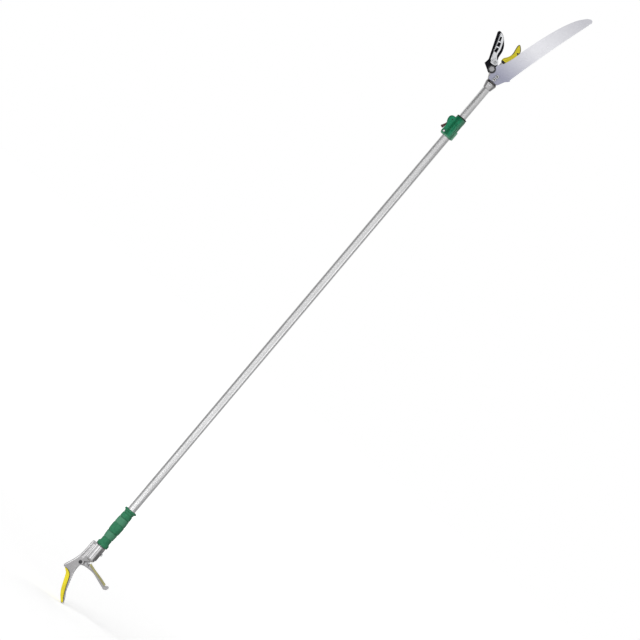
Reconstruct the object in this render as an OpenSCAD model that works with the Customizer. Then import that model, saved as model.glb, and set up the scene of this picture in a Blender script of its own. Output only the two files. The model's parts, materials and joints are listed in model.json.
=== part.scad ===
// Telescopic tree pruner pole: a squeeze handle with a trigger, two sliding tubes with a brake lock,
// a two-part pull rod inside them, and a cutting head with a hook and a saw.
// +Z runs up the pole, +X to the saw side, -Y faces the viewer. The origin is the middle of the grip.

/* [Pole] */
// Outside diameter of the outer tube
outer_tube_d = 25; // [23:0.5:28]
// Wall of the outer tube
outer_tube_wall = 1; // [0.8:0.1:1.4]
// Length of the outer tube
outer_tube_length = 1548; // [1450:1:1700]
// Gap between the two tubes, on the radius
tube_gap = 0.5; // [0.3:0.05:0.8]
// Wall of the inner tube
inner_tube_wall = 1.2; // [1:0.1:1.5]
// How far the inner tube slides out
pole_travel = 1000; // [600:10:1050]
// Length of tube that stays inside at full reach
tube_overlap = 130; // [120:1:170]
// Length of inner tube that shows when it is pushed in
inner_show = 104; // [60:1:160]

/* [Grip] */
// Length of the grip
grip_length = 127; // [110:1:150]
// Diameter of the flange at the top of the grip
grip_top_d = 38; // [36:0.5:42]
// Diameter of the flange at the foot of the grip
grip_foot_d = 35; // [34:0.5:40]
// Thickness of the grip at its belly, over the tube
grip_belly = 5; // [4:0.25:6]

/* [Handle] */
// Depth of the socket that holds the outer tube
socket_depth = 44; // [40:1:48]
// Wall of the socket
socket_wall = 3; // [2.5:0.25:4]
// Wall of each cheek beside the trigger
cheek_wall = 3.4; // [3:0.1:5]
// Distance from the pole's axis back to the trigger pivot
trigger_pivot_x = 16; // [15:0.25:17]
// Drop from the top of the handle to the trigger pivot
trigger_pivot_drop = 69.5; // [68:0.25:71]
// Diameter of the trigger pivot pin
trigger_pin_d = 6; // [5:0.5:7]
// Swing of the trigger in degrees
trigger_swing = 50; // [40:1:52]
// Thickness of the trigger where it enters the handle
trigger_root = 8; // [6:0.5:9]
// Width of the trigger's finger bar
trigger_width = 12; // [10:0.5:15]
// Thickness of the trigger cover
trigger_cover_t = 3; // [2:0.25:4]
// Width of the cover on the fixed arm
handle_cover_w = 24; // [22:0.5:28]

/* [Pull rod] */
// Diameter of the stud and of the upper rod
upper_rod_d = 6; // [5:0.25:6.5]
// Outside diameter of the lower rod tube
lower_rod_d = 10; // [9.5:0.25:11]
// Wall of the lower rod tube
lower_rod_wall = 1; // [0.8:0.1:1.2]
// Diameter of the pin in the clevis
rod_pin_d = 5; // [4:0.25:5.5]
// Thickness of each tine of the clevis
clevis_tine = 2.7; // [2:0.1:3]
// Length of the return spring at rest
spring_length = 40; // [36:1:60]
// Wire of the return spring
spring_wire = 1.8; // [1.4:0.1:2]
// Turns of the return spring
spring_turns = 7; // [5:1:8]
// Length of rod that stays in the clutch at full reach
rod_overlap = 60; // [50:1:90]

/* [Lock] */
// Height of the lock housing
lock_height = 69; // [67:0.5:76]
// Length of outer tube that seats in the housing
lock_seat = 33.5; // [30:0.5:35]
// Wall of the housing round the outer tube
lock_wall = 2.8; // [2.4:0.1:3.4]
// Width of the lock lever
lever_width = 9.2; // [8:0.2:10]
// Thickness of each cheek beside the lever
lock_cheek = 4.8; // [4:0.2:6]
// Thickness of the brake shoe
shoe_t = 2.1; // [1.6:0.1:2.6]
// Diameter of the lever pin
lever_pin_d = 3; // [2.5:0.1:3.2]
// Diameter of the clamp screw
clamp_screw_d = 4; // [3:0.25:4.5]

/* [Head] */
// Depth of the socket on the inner tube
head_socket_depth = 19.5; // [17:0.5:20]
// Distance from the pole's axis to the blade pivot
blade_pivot_x = 24; // [23:0.25:25]
// Rise from the foot of the head to the blade pivot
blade_pivot_rise = 50; // [49:0.25:51]
// Diameter of the pivot bolt
pivot_bolt_d = 8; // [6:0.5:9]
// Thickness of the cutting blade
blade_t = 3; // [2.4:0.1:3.4]
// Thickness of the hold plate
hold_plate_t = 2.9; // [2.2:0.1:3.2]
// Thickness of the counter blade
counter_t = 4; // [3.4:0.1:4.6]
// Thickness of the front and back walls of the head bracket
head_wall = 4.1; // [3.5:0.1:5]
// Thickness of the rod eye
eye_t = 2.3; // [1.8:0.1:2.4]
// Thickness of the saw blade
saw_t = 1.4; // [1:0.1:1.8]
// Distance from one saw tooth to the next
tooth_pitch = 4.5; // [3.5:0.25:6]
// Height of a saw tooth
tooth_height = 2.8; // [2:0.2:3.4]
// Diameter of the saw screws
saw_screw_d = 5; // [4:0.25:6]

/* [Clearances] */
// Gap round a piece in its seat, on the radius
seat_gap = 0.05; // [0.02:0.01:0.1]
// Gap round a piece that turns or slides, on the radius
run_gap = 0.1; // [0.05:0.01:0.1]
// Gap beside a flat piece that moves
side_gap = 0.3; // [0.2:0.05:0.4]
// Gap above and below a pin in its slot
slot_gap = 0.25; // [0.2:0.05:0.35]

/* [Hidden] */
$fn = 64;

// Tubes, by radius
outer_r = outer_tube_d / 2;
outer_bore_r = outer_r - outer_tube_wall;
inner_r = outer_bore_r - tube_gap;
inner_bore_r = inner_r - inner_tube_wall;

// How far a cut runs on past the solid it opens
past = 60;

// Levels along the pole
end_gap = 0.5;
handle_top = -grip_length / 2 - end_gap;
tube_foot_z = handle_top - socket_depth;
tube_top = tube_foot_z + outer_tube_length;
lock_z = tube_top - lock_seat;
head_z = lock_z + lock_height + inner_show;
inner_top = head_z + head_socket_depth;
inner_foot_z = tube_top - pole_travel - tube_overlap;

// Trigger linkage: its pin swings evenly about the level of the pivot
trigger_pivot = [-trigger_pivot_x, handle_top - trigger_pivot_drop];
trigger_half = trigger_swing / 2;
trigger_arm = 2 * trigger_pivot_x / (1 + cos(trigger_half));
trigger_shift = trigger_arm * (1 - cos(trigger_half)) / 2;
rod_travel = 2 * trigger_arm * sin(trigger_half);
rod_pin_at = trigger_pivot + trigger_arm * [cos(trigger_half), sin(trigger_half)];

// Blade linkage: the same travel turns the blade evenly about the level of its pivot
blade_pivot = [-blade_pivot_x, head_z + blade_pivot_rise];
blade_half = 2 * atan(rod_travel / (4 * blade_pivot_x));
blade_arm = 2 * blade_pivot_x / (1 + cos(blade_half));
blade_shift = blade_arm * (1 - cos(blade_half)) / 2;
tail_pin_at = blade_pivot + blade_arm * [cos(blade_half), sin(blade_half)];

// Clevis and the width of the handle round it
clevis_gap = trigger_root + 2 * side_gap;
clevis_w = clevis_gap + 2 * clevis_tine;
clevis_r = 5.5;
clevis_throat = 9.5;
clevis_crown = 5;
clevis_room = 1.8;
cavity_w = clevis_w + 4 * side_gap;
handle_w = cavity_w + 2 * cheek_wall;
socket_r = outer_r + socket_wall;
trigger_slot = trigger_root + 2 * side_gap;

// Rod inside the outer tube
bush_length = 12;
bush_top = tube_foot_z + bush_length;
collar_z = bush_top + spring_length;
collar_h = 20;
collar_floor = 2;
rod_r = upper_rod_d / 2;
lower_rod_r = lower_rod_d / 2;
clutch_h = 34;
clutch_drop = 74;
clutch_seat = 8;
clutch_cap_h = 6;
clutch_z = tube_top - clutch_drop;
clutch_r = inner_bore_r - 0.5;
clutch_wall = 2;
upper_rod_foot = clutch_z + clutch_h - pole_travel - rod_overlap;

// Head, by layer from the front to the back
blade_front = -blade_t / 2;
hold_front = blade_front - hold_plate_t;
wall_inside = hold_front - 0.5;
wall_front = wall_inside - head_wall;
saw_front = wall_front - saw_t;
counter_front = blade_t / 2 + run_gap;
back_inside = counter_front + counter_t;
back_face = back_inside + head_wall;
head_floor = 4;
eye_front = blade_front - 0.2 - eye_t;
eye_r = 6;
eye_shank_r = min(4.3, -wall_inside - side_gap);
eye_shank_h = 10;
eye_foot = inner_top + head_floor + rod_travel + 0.6;

// Lock, measured from the pole's axis
cam_reach = 3.75;
lever_pin_at = [-(inner_r + run_gap + shoe_t + seat_gap + cam_reach), 48];
lever_gap = lever_width + 2 * side_gap;
lock_w = lever_gap + 2 * lock_cheek;
lock_r = outer_r + lock_wall;
shoe_h = 14;
clamp_wall = 1.5;
clamp_at = [-(outer_r + clamp_wall + clamp_screw_d / 2), 9.5];
collar_foot = lock_height - 17;
wiper_h = 3;
wiper_r = lock_r - 0.4;

// Saw, from the head's foot: its heel, back and tip, the foot below the teeth, and the ends of its edge
saw_heel = [[-14, 25], [-16, 28]];
saw_back = [[-19, 40], [-19, 66], [-14, 74], [-7.5, 83], [-2.6, 95.5], [1.4, 106], [4.6, 117], [7.2, 129],
    [10.4, 145], [25, 195], [46, 255], [68, 300], [88, 325]];
saw_tip = [[97, 330], [103, 328.5], [105.5, 322]];
saw_foot = [[36, 56], [33, 52], [26, 45], [21, 35], [16, 25]];
saw_root = [34, 60];
saw_point = [103, 315];
saw_sag = 4.6;

// A smooth curve through a list of points, with a number of steps from each to the next
function spline(p, steps = 4) =
    let (last = len(p) - 1)
    concat(
        [for (i = [0 : last - 1], k = [0 : steps - 1])
            let (
                a = p[max(i - 1, 0)],
                b = p[i],
                c = p[i + 1],
                d = p[min(i + 2, last)],
                t = k / steps
            )
            (2 * b + (c - a) * t + (2 * a - 5 * b + 4 * c - d) * t ^ 2
                + (3 * b - a - 3 * c + d) * t ^ 3) / 2],
        [p[last]]);

// A quadratic curve from a to c, drawn to b
function bend(a, b, c, t) = (1 - t) ^ 2 * a + 2 * t * (1 - t) * b + t ^ 2 * c;

// Points on an arc about a centre, from one angle to another
function arc(at, r, from, to, steps = 8) =
    [for (i = [0 : steps])
        let (angle = from + (to - from) * i / steps)
        at + r * [cos(angle), sin(angle)]];

// Side view outlines are drawn in X and Z, and stand across the pole from y_front back
module across(y_front, thick) {
    translate([0, y_front + thick, 0])
        rotate([90, 0, 0])
            linear_extrude(thick)
                children();
}

// A round bar across the pole
module cross_bar(at, d, y_front, length) {
    translate([at[0], y_front, at[1]])
        rotate([-90, 0, 0])
            cylinder(d = d, h = length);
}

// A hexagon across the pole, with its flats a given distance apart
module cross_hex(at, flats, y_front, length) {
    translate([at[0], y_front, at[1]])
        rotate([-90, 0, 0])
            cylinder(d = flats / cos(30), h = length, $fn = 6);
}

module spot(at) {
    translate(at)
        children();
}

module up(z) {
    translate([0, 0, z])
        children();
}

// Rounds the outward corners of an outline
module eased(r) {
    offset(r = r, $fn = 32)
        offset(delta = -r)
            children();
}

module ring(outside_r, bore_r, height) {
    difference() {
        cylinder(r = outside_r, h = height);
        up(-1)
            cylinder(r = bore_r, h = height + 2);
    }
}

// A closed coil of round wire along Z
module coil(mean_r, wire, height, turns, steps = 12, sides = 6) {
    rings = turns * steps;
    rise = height - wire;
    points = [for (i = [0 : rings], k = [0 : sides - 1])
        let (
            turn = 360 * i / steps,
            side = 360 * k / sides,
            reach = mean_r + wire / 2 * cos(side)
        )
        [reach * cos(turn), reach * sin(turn), wire / 2 + rise * i / rings + wire / 2 * sin(side)]];
    walls = [for (i = [0 : rings - 1], k = [0 : sides - 1])
        let (
            a = i * sides + k,
            b = i * sides + (k + 1) % sides
        )
        each [[a, a + sides, b], [b, a + sides, b + sides]]];
    first_end = [for (k = [1 : sides - 2]) [0, k, k + 1]];
    start = rings * sides;
    last_end = [for (k = [1 : sides - 2]) [start, start + k + 1, start + k]];
    polyhedron(points, concat(walls, first_end, last_end));
}

// Handle: outlines are measured from the pole's axis and down from the handle's top
handle_crown = [[6, 0], [-24, 0], [-27, -1.5]];
handle_back = [[-28, -5], [-28.5, -41], [-33, -66], [-40, -86], [-45, -98]];
handle_heel = [[-46.5, -102], [-46, -106], [-43, -108.2]];
arm_seam = [[-39, -107.5], [-29, -107.5], [-19.5, -112], [-13.5, -119.5], [-7.5, -133.5], [-1, -149.5],
    [8, -168.5], [18, -184.5]];
arm_toe = [[20.5, -188], [22.3, -188]];
arm_front = [[22, -186.5], [15, -171.5], [6, -156.5], [-4, -126.5], [-10, -106.5], [-12, -91.5], [-11, -76]];
handle_throat = [[-10, -62.5], [2, -54.5], [6, -50]];
handle_panel = [[-22.5, -5], [-17, -5], [-17, -40], [-19, -56], [-26, -63], [-23.5, -40]];
cover_toe = [[18.5, -187], [17.5, -189.5]];
cover_back = [[15, -189.5], [2, -176.5], [-8, -162.5], [-15.5, -146.5], [-22, -131], [-28.5, -117],
    [-39, -109]];
arm_seam_edge = spline(arm_seam);
pivot_drop = [-trigger_pivot_x, -trigger_pivot_drop];
boss_r = 8;
boss_gap = 1.2;

module handle_outline() {
    polygon(concat(
        handle_crown,
        spline(handle_back),
        handle_heel,
        arm_seam_edge,
        arm_toe,
        spline(arm_front),
        handle_throat));
    spot(pivot_drop)
        circle(r = boss_r + boss_gap);
}

// Room round the trigger's root, from its pivot: above it at rest, and below it before it is turned
room_top = [[-5, 7.5], [8, 17.5]];
room_low = [[27, -4.5], [14, -6.5], [2, -boss_r - boss_gap]];

// A point that the trigger carries, at the end of its swing
function squeezed(p) = [
    p[0] * cos(trigger_swing) + p[1] * sin(trigger_swing),
    p[1] * cos(trigger_swing) - p[0] * sin(trigger_swing)];

// Room between the cheeks for the root of the trigger, all through its swing
module trigger_room() {
    spot(pivot_drop) {
        circle(r = boss_r + boss_gap);
        polygon(concat(
            room_top,
            [[past, room_top[1][1]], [past, -past / 2]],
            [for (p = room_low) squeezed(p)]));
    }
}

module socket_form() {
    ease = 1;
    taper = 7;
    floor_t = 10.5;
    rotate_extrude()
        polygon([[0, 0], [socket_r - ease, 0], [socket_r, -ease], [socket_r, taper - floor_t - socket_depth],
            [socket_r - taper, -socket_depth - floor_t], [0, -socket_depth - floor_t]]);
}

module handle_body() {
    panel_depth = 1.2;
    color("silver")
        up(handle_top)
            difference() {
                union() {
                    across(-handle_w / 2, handle_w)
                        handle_outline();
                    socket_form();
                }
                up(-socket_depth)
                    cylinder(r = outer_r + seat_gap, h = socket_depth + 1);
                translate([-clevis_r - clevis_room, -cavity_w / 2, -socket_depth - past])
                    cube([past, cavity_w, past + 1]);
                across(-trigger_slot / 2, trigger_slot)
                    trigger_room();
                cross_bar(pivot_drop, trigger_pin_d + 2 * seat_gap, -handle_w, 2 * handle_w);
                for (face = [-handle_w / 2 - 1, handle_w / 2 - panel_depth])
                    across(face, panel_depth + 1)
                        eased(2)
                            polygon(handle_panel);
                up(-socket_screw_drop)
                    rotate([0, 90, 0])
                        cylinder(d = socket_screw_d + 2 * seat_gap, h = socket_r + 1);
            }
}

module handle_cover() {
    color("gold")
        up(handle_top)
            across(-handle_cover_w / 2, handle_cover_w)
                polygon(concat(arm_seam_edge, cover_toe, spline(cover_back)));
}

socket_screw_d = 5;
socket_screw_drop = 19.5;
socket_screw_head = [8, 3.6];

module socket_screw() {
    color("dimgray")
        translate([outer_r + seat_gap, 0, handle_top - socket_screw_drop])
            rotate([0, 90, 0]) {
                cylinder(d = socket_screw_d, h = socket_wall + 1);
                up(socket_wall)
                    cylinder(d = socket_screw_head[0], h = socket_screw_head[1]);
            }
}

clip_t = 1;
clip_rim = 1.5;
pin_head = 2;
pin_head_rim = 2;

module trigger_pin() {
    color("dimgray") {
        cross_bar(trigger_pivot, trigger_pin_d, -handle_w / 2 - pin_head, handle_w + pin_head + clip_t + 1);
        cross_bar(trigger_pivot, trigger_pin_d + 2 * pin_head_rim, -handle_w / 2 - pin_head, pin_head);
    }
}

module pin_clip() {
    color("gray")
        difference() {
            cross_bar(trigger_pivot, trigger_pin_d + 2 * clip_rim, handle_w / 2, clip_t);
            cross_bar(trigger_pivot, trigger_pin_d + 2 * seat_gap, handle_w / 2 - 1, clip_t + 2);
        }
}

module outer_tube() {
    color("gainsboro")
        up(tube_foot_z)
            ring(outer_r, outer_bore_r, outer_tube_length);
}

module hand_grip() {
    half = grip_length / 2;
    top_r = grip_top_d / 2;
    foot_r = grip_foot_d / 2;
    waist = outer_r + 1.6;
    neck = outer_r + 2.2;
    belly = outer_r + grip_belly;
    bore = outer_r + seat_gap;
    side = spline([[foot_r - 1, -half + 11], [waist + 0.6, -half + 13.5], [waist, -half + 18],
        [waist + 1.2, -half + 32], [belly - 0.6, -half + 53], [belly, -half + 68], [belly - 0.7, -half + 90],
        [neck + 0.7, -half + 110], [neck, half - 9.5], [neck + 1.2, half - 6.5]]);
    color("seagreen")
        rotate_extrude()
            polygon(concat(
                [[bore, -half], [foot_r - 1.5, -half], [foot_r, -half + 1.5], [foot_r, -half + 9.5]],
                side,
                [[top_r - 1, half - 5], [top_r, half - 4], [top_r, half - 1.5], [top_r - 1.5, half],
                    [bore, half]]));
}

module rod_bush() {
    color("dimgray")
        up(tube_foot_z)
            ring(outer_bore_r - seat_gap, rod_r + run_gap, bush_length);
}

module return_spring() {
    color("silver")
        up(bush_top)
            coil((outer_bore_r + rod_r) / 2, spring_wire, spring_length, spring_turns);
}

// Lock: outlines are measured from the lever pin or from the housing's foot
module cheek_outline() {
    x = lever_pin_at[0];
    polygon(concat(
        [[-inner_r + 3, 1], [x - 2, 1], [x - 5, 3.5], [x - 6, 8], [x - 5, 23], [x - 6.5, 31]],
        spline([[x - 10, 36], [x - 12.6, 43], [x - 13, 50], [x - 9.5, 56], [x - 4, 58.5]], 3),
        [[-inner_r + 3, 59]]));
}

module lock_housing() {
    grooves = [[2, 20, 48], [9, 20, 38]];
    groove_w = 2.4;
    groove_depth = 1.5;
    ear = [10.5, 14, 26];
    ear_out = 3.2;
    ease = 0.8;
    band = 0.4;
    color("seagreen")
        up(lock_z)
            difference() {
                union() {
                    rotate_extrude()
                        polygon([[0, 0], [lock_r - ease, 0], [lock_r, ease], [lock_r, collar_foot],
                            [lock_r + band, collar_foot + 1], [lock_r + band, lock_height - 8],
                            [wiper_r, lock_height - wiper_h], [0, lock_height - wiper_h]]);
                    across(-lock_w / 2, lock_w)
                        cheek_outline();
                    translate([lock_r + ear_out - ear[0], -ear[1] / 2, 2])
                        cube(ear);
                }
                up(-1)
                    cylinder(r = outer_r + seat_gap, h = lock_seat + 1);
                cylinder(r = inner_r + run_gap, h = lock_height);
                translate([-past, -lever_gap / 2, -1])
                    cube([past, lever_gap, collar_foot + 6]);
                cross_bar(lever_pin_at, lever_pin_d + 2 * seat_gap, -lock_w, 2 * lock_w);
                cross_bar(clamp_at, clamp_screw_d + 2 * seat_gap, -lock_w, 2 * lock_w);
                for (g = grooves)
                    translate([g[0] - groove_w / 2, -lock_r - 1, g[1]])
                        cube([groove_w, lock_r + 1 - sqrt(lock_r ^ 2 - g[0] ^ 2) + groove_depth,
                            g[2] - g[1]]);
            }
}

module wiper_ring() {
    color("black")
        up(lock_z + lock_height - wiper_h)
            ring(wiper_r, inner_r + run_gap, wiper_h);
}

clamp_nut_h = 3.2;

module clamp_screw() {
    at = clamp_at + [0, lock_z];
    head = 2.2;
    rim = 1;
    color("silver") {
        cross_bar(at, clamp_screw_d, -lock_w / 2 - 1, lock_w + clamp_nut_h + 2);
        cross_bar(at, clamp_screw_d + 2 * rim, -lock_w / 2 - head, head);
    }
}

module clamp_nut() {
    at = clamp_at + [0, lock_z];
    color("silver")
        difference() {
            cross_hex(at, clamp_screw_d + 3, lock_w / 2, clamp_nut_h);
            cross_bar(at, clamp_screw_d + 2 * seat_gap, lock_w / 2 - 1, clamp_nut_h + 2);
        }
}

module lever_pin() {
    color("dimgray")
        cross_bar(lever_pin_at + [0, lock_z], lever_pin_d, -lock_w / 2, lock_w);
}

lever_notch_w = 4.6;
lever_notch_r = 4.2;

module lever_spring() {
    wire = 0.8;
    length = lever_notch_w - 2 * side_gap;
    color("silver")
        translate([lever_pin_at[0], -length / 2, lock_z + lever_pin_at[1]])
            rotate([-90, 0, 0])
                coil(lever_pin_d / 2 + run_gap + wire / 2, wire, length, 3);
}

module brake_shoe() {
    inside = inner_r + run_gap;
    width = lever_gap - 2 * side_gap;
    color("dimgray")
        up(lock_z + lever_pin_at[1] - shoe_h / 2)
            difference() {
                translate([-inside - shoe_t, -width / 2, 0])
                    cube([shoe_t + 1.6, width, shoe_h]);
                up(-1)
                    cylinder(r = inside, h = shoe_h + 2);
            }
}

module lock_lever() {
    nose_r = 1.6;
    nose_turn = 40;
    nose_out = (cam_reach - nose_r) / cos(nose_turn);
    color("saddlebrown")
        translate([lever_pin_at[0], 0, lock_z + lever_pin_at[1]])
            difference() {
                across(-lever_width / 2, lever_width)
                    union() {
                        circle(r = 3.2);
                        spot(nose_out * [cos(nose_turn), sin(nose_turn)])
                            circle(r = nose_r);
                        polygon(concat(
                            spline([[-2.8, 1.6], [-7, -10], [-9.5, -20], [-15, -30]], 3),
                            spline([[-7, -34], [-5, -24], [-3.3, -15], [1.5, -2.8]], 3)));
                        for (end = [[-12.7, -31], [-9.4, -32.4]])
                            spot(end)
                                circle(r = 2.6);
                    }
                cross_bar([0, 0], lever_pin_d + 2 * run_gap, -lever_width, 2 * lever_width);
                cross_bar([0, 0], 2 * lever_notch_r, -lever_notch_w / 2, lever_notch_w);
            }
}

// Trigger: outlines are measured like the handle's
trigger_top = [[9, -57.6], [28, -63.8], [58, -71], [77, -76.8]];
trigger_tip = [[80, -75.8], [85, -73.2], [88.8, -73.6], [90.5, -78], [87.5, -84.5]];
trigger_low = [[81, -88.4], [73, -85.6], [48, -77], [28, -71.3], [10, -71.3], [-2, -73]];
trigger_top_edge = spline(trigger_top, 6);
trigger_neck = [-4, -60.5];
trigger_ear_r = 5;

module trigger_outline() {
    spot(pivot_drop)
        circle(r = boss_r);
    spot(rod_pin_at - [0, handle_top])
        circle(r = trigger_ear_r);
    polygon(concat(
        [pivot_drop + [0, boss_r - 0.3], trigger_neck],
        trigger_top_edge,
        spline(trigger_tip, 3),
        spline(trigger_low),
        [pivot_drop + [2, -boss_r + 0.3]]));
}

module trigger_lever() {
    bar_start = trigger_arm + clevis_r + 3;
    up(handle_top)
        color("darkgray")
            difference() {
                union() {
                    across(-trigger_root / 2, trigger_root)
                        trigger_outline();
                    across(-trigger_width / 2, trigger_width)
                        difference() {
                            trigger_outline();
                            spot(pivot_drop)
                                circle(r = bar_start);
                        }
                }
                cross_bar(pivot_drop, trigger_pin_d + 2 * run_gap, -past / 2, past);
                cross_bar(rod_pin_at - [0, handle_top], rod_pin_d + 2 * seat_gap, -past / 2, past);
            }
}

// The cover lies on the trigger's own top edge, from a little past its neck to its tip, with a lip down each
// side of the bar
trigger_cover_from = 9;
trigger_cover_lip = 1;
trigger_cover_skirt = 3;

module trigger_cover() {
    seat = [for (p = trigger_top_edge) if (p[0] >= trigger_cover_from) p];
    last = len(seat) - 1;
    crown = [for (i = [last : -1 : 0]) seat[i] + [0, trigger_cover_t]];
    hem = [for (p = seat) p - [0, trigger_cover_skirt]];
    color("khaki")
        up(handle_top) {
            across(-trigger_width / 2 - trigger_cover_lip, trigger_width + 2 * trigger_cover_lip)
                polygon(concat(seat, crown));
            for (y = [-trigger_width / 2 - trigger_cover_lip, trigger_width / 2])
                across(y, trigger_cover_lip)
                    polygon(concat(hem, crown));
        }
}

module rod_pin() {
    color("silver")
        cross_bar(rod_pin_at, rod_pin_d, -clevis_w / 2, clevis_w);
}

// A round-ended slot along X
module pin_slot(at, d, shift, y_front, length) {
    for (x = [-shift, shift])
        cross_bar(at + [x, 0], d, y_front, length);
    translate([at[0] - shift, y_front, at[1] - d / 2])
        cube([2 * shift, length, d]);
}

module rod_clevis() {
    crown = rod_pin_at[1] + clevis_throat;
    slot_at = [0, rod_pin_at[1]];
    color("lightgray")
        difference() {
            union() {
                cross_bar(slot_at, 2 * clevis_r, -clevis_w / 2, clevis_w);
                translate([-clevis_r, -clevis_w / 2, slot_at[1]])
                    cube([2 * clevis_r, clevis_w, clevis_throat + clevis_crown]);
                up(crown)
                    cylinder(r = rod_r, h = collar_z + collar_h / 2 - collar_floor - crown);
            }
            translate([-clevis_r - 1, -clevis_gap / 2, slot_at[1] - clevis_r - 1])
                cube([2 * clevis_r + 2, clevis_gap, clevis_throat + clevis_r + 1]);
            pin_slot(slot_at, rod_pin_d + 2 * slot_gap, trigger_shift + side_gap, -clevis_w, 2 * clevis_w);
        }
}

module spring_collar() {
    color("dimgray")
        up(collar_z)
            difference() {
                cylinder(r = outer_bore_r - 1.5, h = collar_h);
                up(-1)
                    cylinder(r = rod_r + seat_gap, h = collar_h);
                up(collar_h / 2)
                    cylinder(r = lower_rod_r + seat_gap, h = collar_h);
            }
}

module lower_rod() {
    foot = collar_z + collar_h / 2;
    color("lightgray")
        up(foot)
            ring(lower_rod_r, lower_rod_r - lower_rod_wall, clutch_z + clutch_seat - foot);
}

module clutch_body() {
    color("goldenrod")
        up(clutch_z)
            difference() {
                cylinder(r = clutch_r, h = clutch_h - clutch_cap_h);
                up(-1)
                    cylinder(r = lower_rod_r + seat_gap, h = clutch_seat + 1);
                cylinder(r = rod_r + 4 * run_gap, h = clutch_h);
                up(clutch_seat + 3)
                    cylinder(r = clutch_r - clutch_wall, h = clutch_h);
            }
}

clutch_tilt = 5;
clutch_plate_t = 1.6;
clutch_plate_step = 3.2;

module clutch_plates() {
    color("gray")
        for (i = [1, 2])
            up(clutch_z + clutch_h - clutch_cap_h - i * clutch_plate_step)
                rotate([0, clutch_tilt, 0])
                    up(-clutch_plate_t / 2)
                        ring(clutch_r - clutch_wall - 0.6, rod_r + 3 * run_gap, clutch_plate_t);
}

module clutch_spring() {
    foot = clutch_seat + 3;
    length = clutch_h - clutch_cap_h - 2 * clutch_plate_step - foot - 2;
    color("silver")
        up(clutch_z + foot)
            coil(rod_r + 1.6, 1, length, 4);
}

module clutch_cap() {
    color("goldenrod")
        up(clutch_z + clutch_h - clutch_cap_h)
            ring(clutch_r, rod_r + run_gap, clutch_cap_h);
}

module inner_tube() {
    color("gainsboro")
        up(inner_foot_z)
            ring(inner_r, inner_bore_r, inner_top - inner_foot_z);
}

module tube_foot() {
    flange = 4;
    skirt = 16;
    color("dimgray")
        up(inner_foot_z - flange)
            difference() {
                union() {
                    cylinder(r = outer_bore_r - run_gap, h = flange);
                    cylinder(r = inner_bore_r - seat_gap, h = flange + skirt);
                }
                up(-1)
                    cylinder(r = lower_rod_r + 3 * run_gap, h = flange + skirt + 2);
            }
}

// Head: outlines are measured from the pole's axis and up from the head's foot
pivot_rise = [-blade_pivot_x, blade_pivot_rise];
pivot_lobe_r = 10;
washer_r = 11;
washer_t = 1.5;
head_screw_d = 4;
head_screw_rim = 2;
head_screw_rise = 14;
saw_screw_at = [[0, 32], [1, 43]];
hold_screw_at = [-29, 71];
counter_rivet_at = [[3, 129], [5, 88]];
counter_rivet_d = 5;

// Socket of the head on the inner tube, which flares as it rises
head_mouth_r = inner_r + 1.2;
head_flare_r = inner_r + 5.5;
head_flare_rise = 17;
head_neck_r = head_flare_r - 2;
head_half_w = 14;
head_screw_low = head_screw_rise - head_screw_d / 2 - head_screw_rim;
head_screw_seat = head_mouth_r + (head_flare_r - head_mouth_r) * head_screw_low / head_flare_rise;

module head_front_outline() {
    spot(pivot_rise)
        circle(r = pivot_lobe_r);
    polygon([[-head_half_w, head_socket_depth + 1], [head_half_w, head_socket_depth + 1], [15.5, 62], [9, 68],
        [-2, 68], [-3.5, 60], pivot_rise + [0, pivot_lobe_r], pivot_rise + [0, -pivot_lobe_r]]);
}

module head_back_outline() {
    spot(pivot_rise)
        circle(r = pivot_lobe_r + 1);
    polygon(concat(
        [[-head_half_w, head_socket_depth + 1], [head_half_w, head_socket_depth + 1], [16, 70], [13, 90]],
        spline([[9.5, 112], [8, 131], [4, 135], [-1, 132], [-3, 115], [-8, 97], [-16, 84]], 3),
        [[-17, 66], pivot_rise + [0, pivot_lobe_r + 1], pivot_rise + [0, -pivot_lobe_r - 1]]));
}

module head_bracket() {
    web_x = 9.5;
    web_top = 66;
    floor_z = head_socket_depth;
    color("silver")
        up(head_z)
            difference() {
                union() {
                    rotate_extrude()
                        polygon([[0, 0], [head_mouth_r, 0], [head_flare_r, head_flare_rise],
                            [head_flare_r, floor_z + 1], [head_neck_r, floor_z + 2],
                            [head_neck_r, floor_z + head_floor], [0, floor_z + head_floor]]);
                    across(wall_front, head_wall)
                        head_front_outline();
                    across(back_inside, head_wall)
                        head_back_outline();
                    translate([web_x, wall_front, floor_z + 1])
                        cube([head_half_w - web_x, back_face - wall_front, web_top - floor_z]);
                }
                up(-1)
                    cylinder(r = inner_r + seat_gap, h = floor_z + 1);
                cylinder(r = rod_r + 3 * run_gap, h = past);
                cross_bar(pivot_rise, pivot_bolt_d + 2 * seat_gap, -past / 2, past);
                for (at = saw_screw_at)
                    cross_bar(at, saw_screw_d + 2 * seat_gap, wall_front - 1, head_wall + 2);
                for (at = counter_rivet_at)
                    cross_bar(at, counter_rivet_d + 2 * seat_gap, back_inside - 1, head_wall + 2);
                cross_bar([0, head_screw_rise], head_screw_d + 2 * seat_gap, -past / 2, past);
                for (side = [0, 1])
                    mirror([0, side, 0])
                        cross_bar([0, head_screw_rise], head_screw_d + 2 * (head_screw_rim + side_gap), -past,
                            past - head_screw_seat);
            }
}

module head_screws() {
    at = [0, head_z + head_screw_rise];
    head = 2;
    color("silver")
        for (side = [0, 1])
            mirror([0, side, 0]) {
                cross_bar(at, head_screw_d, -head_screw_seat, head_screw_seat - inner_r - seat_gap);
                cross_bar(at, head_screw_d + 2 * head_screw_rim, -head_screw_seat - head, head);
            }
}

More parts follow.
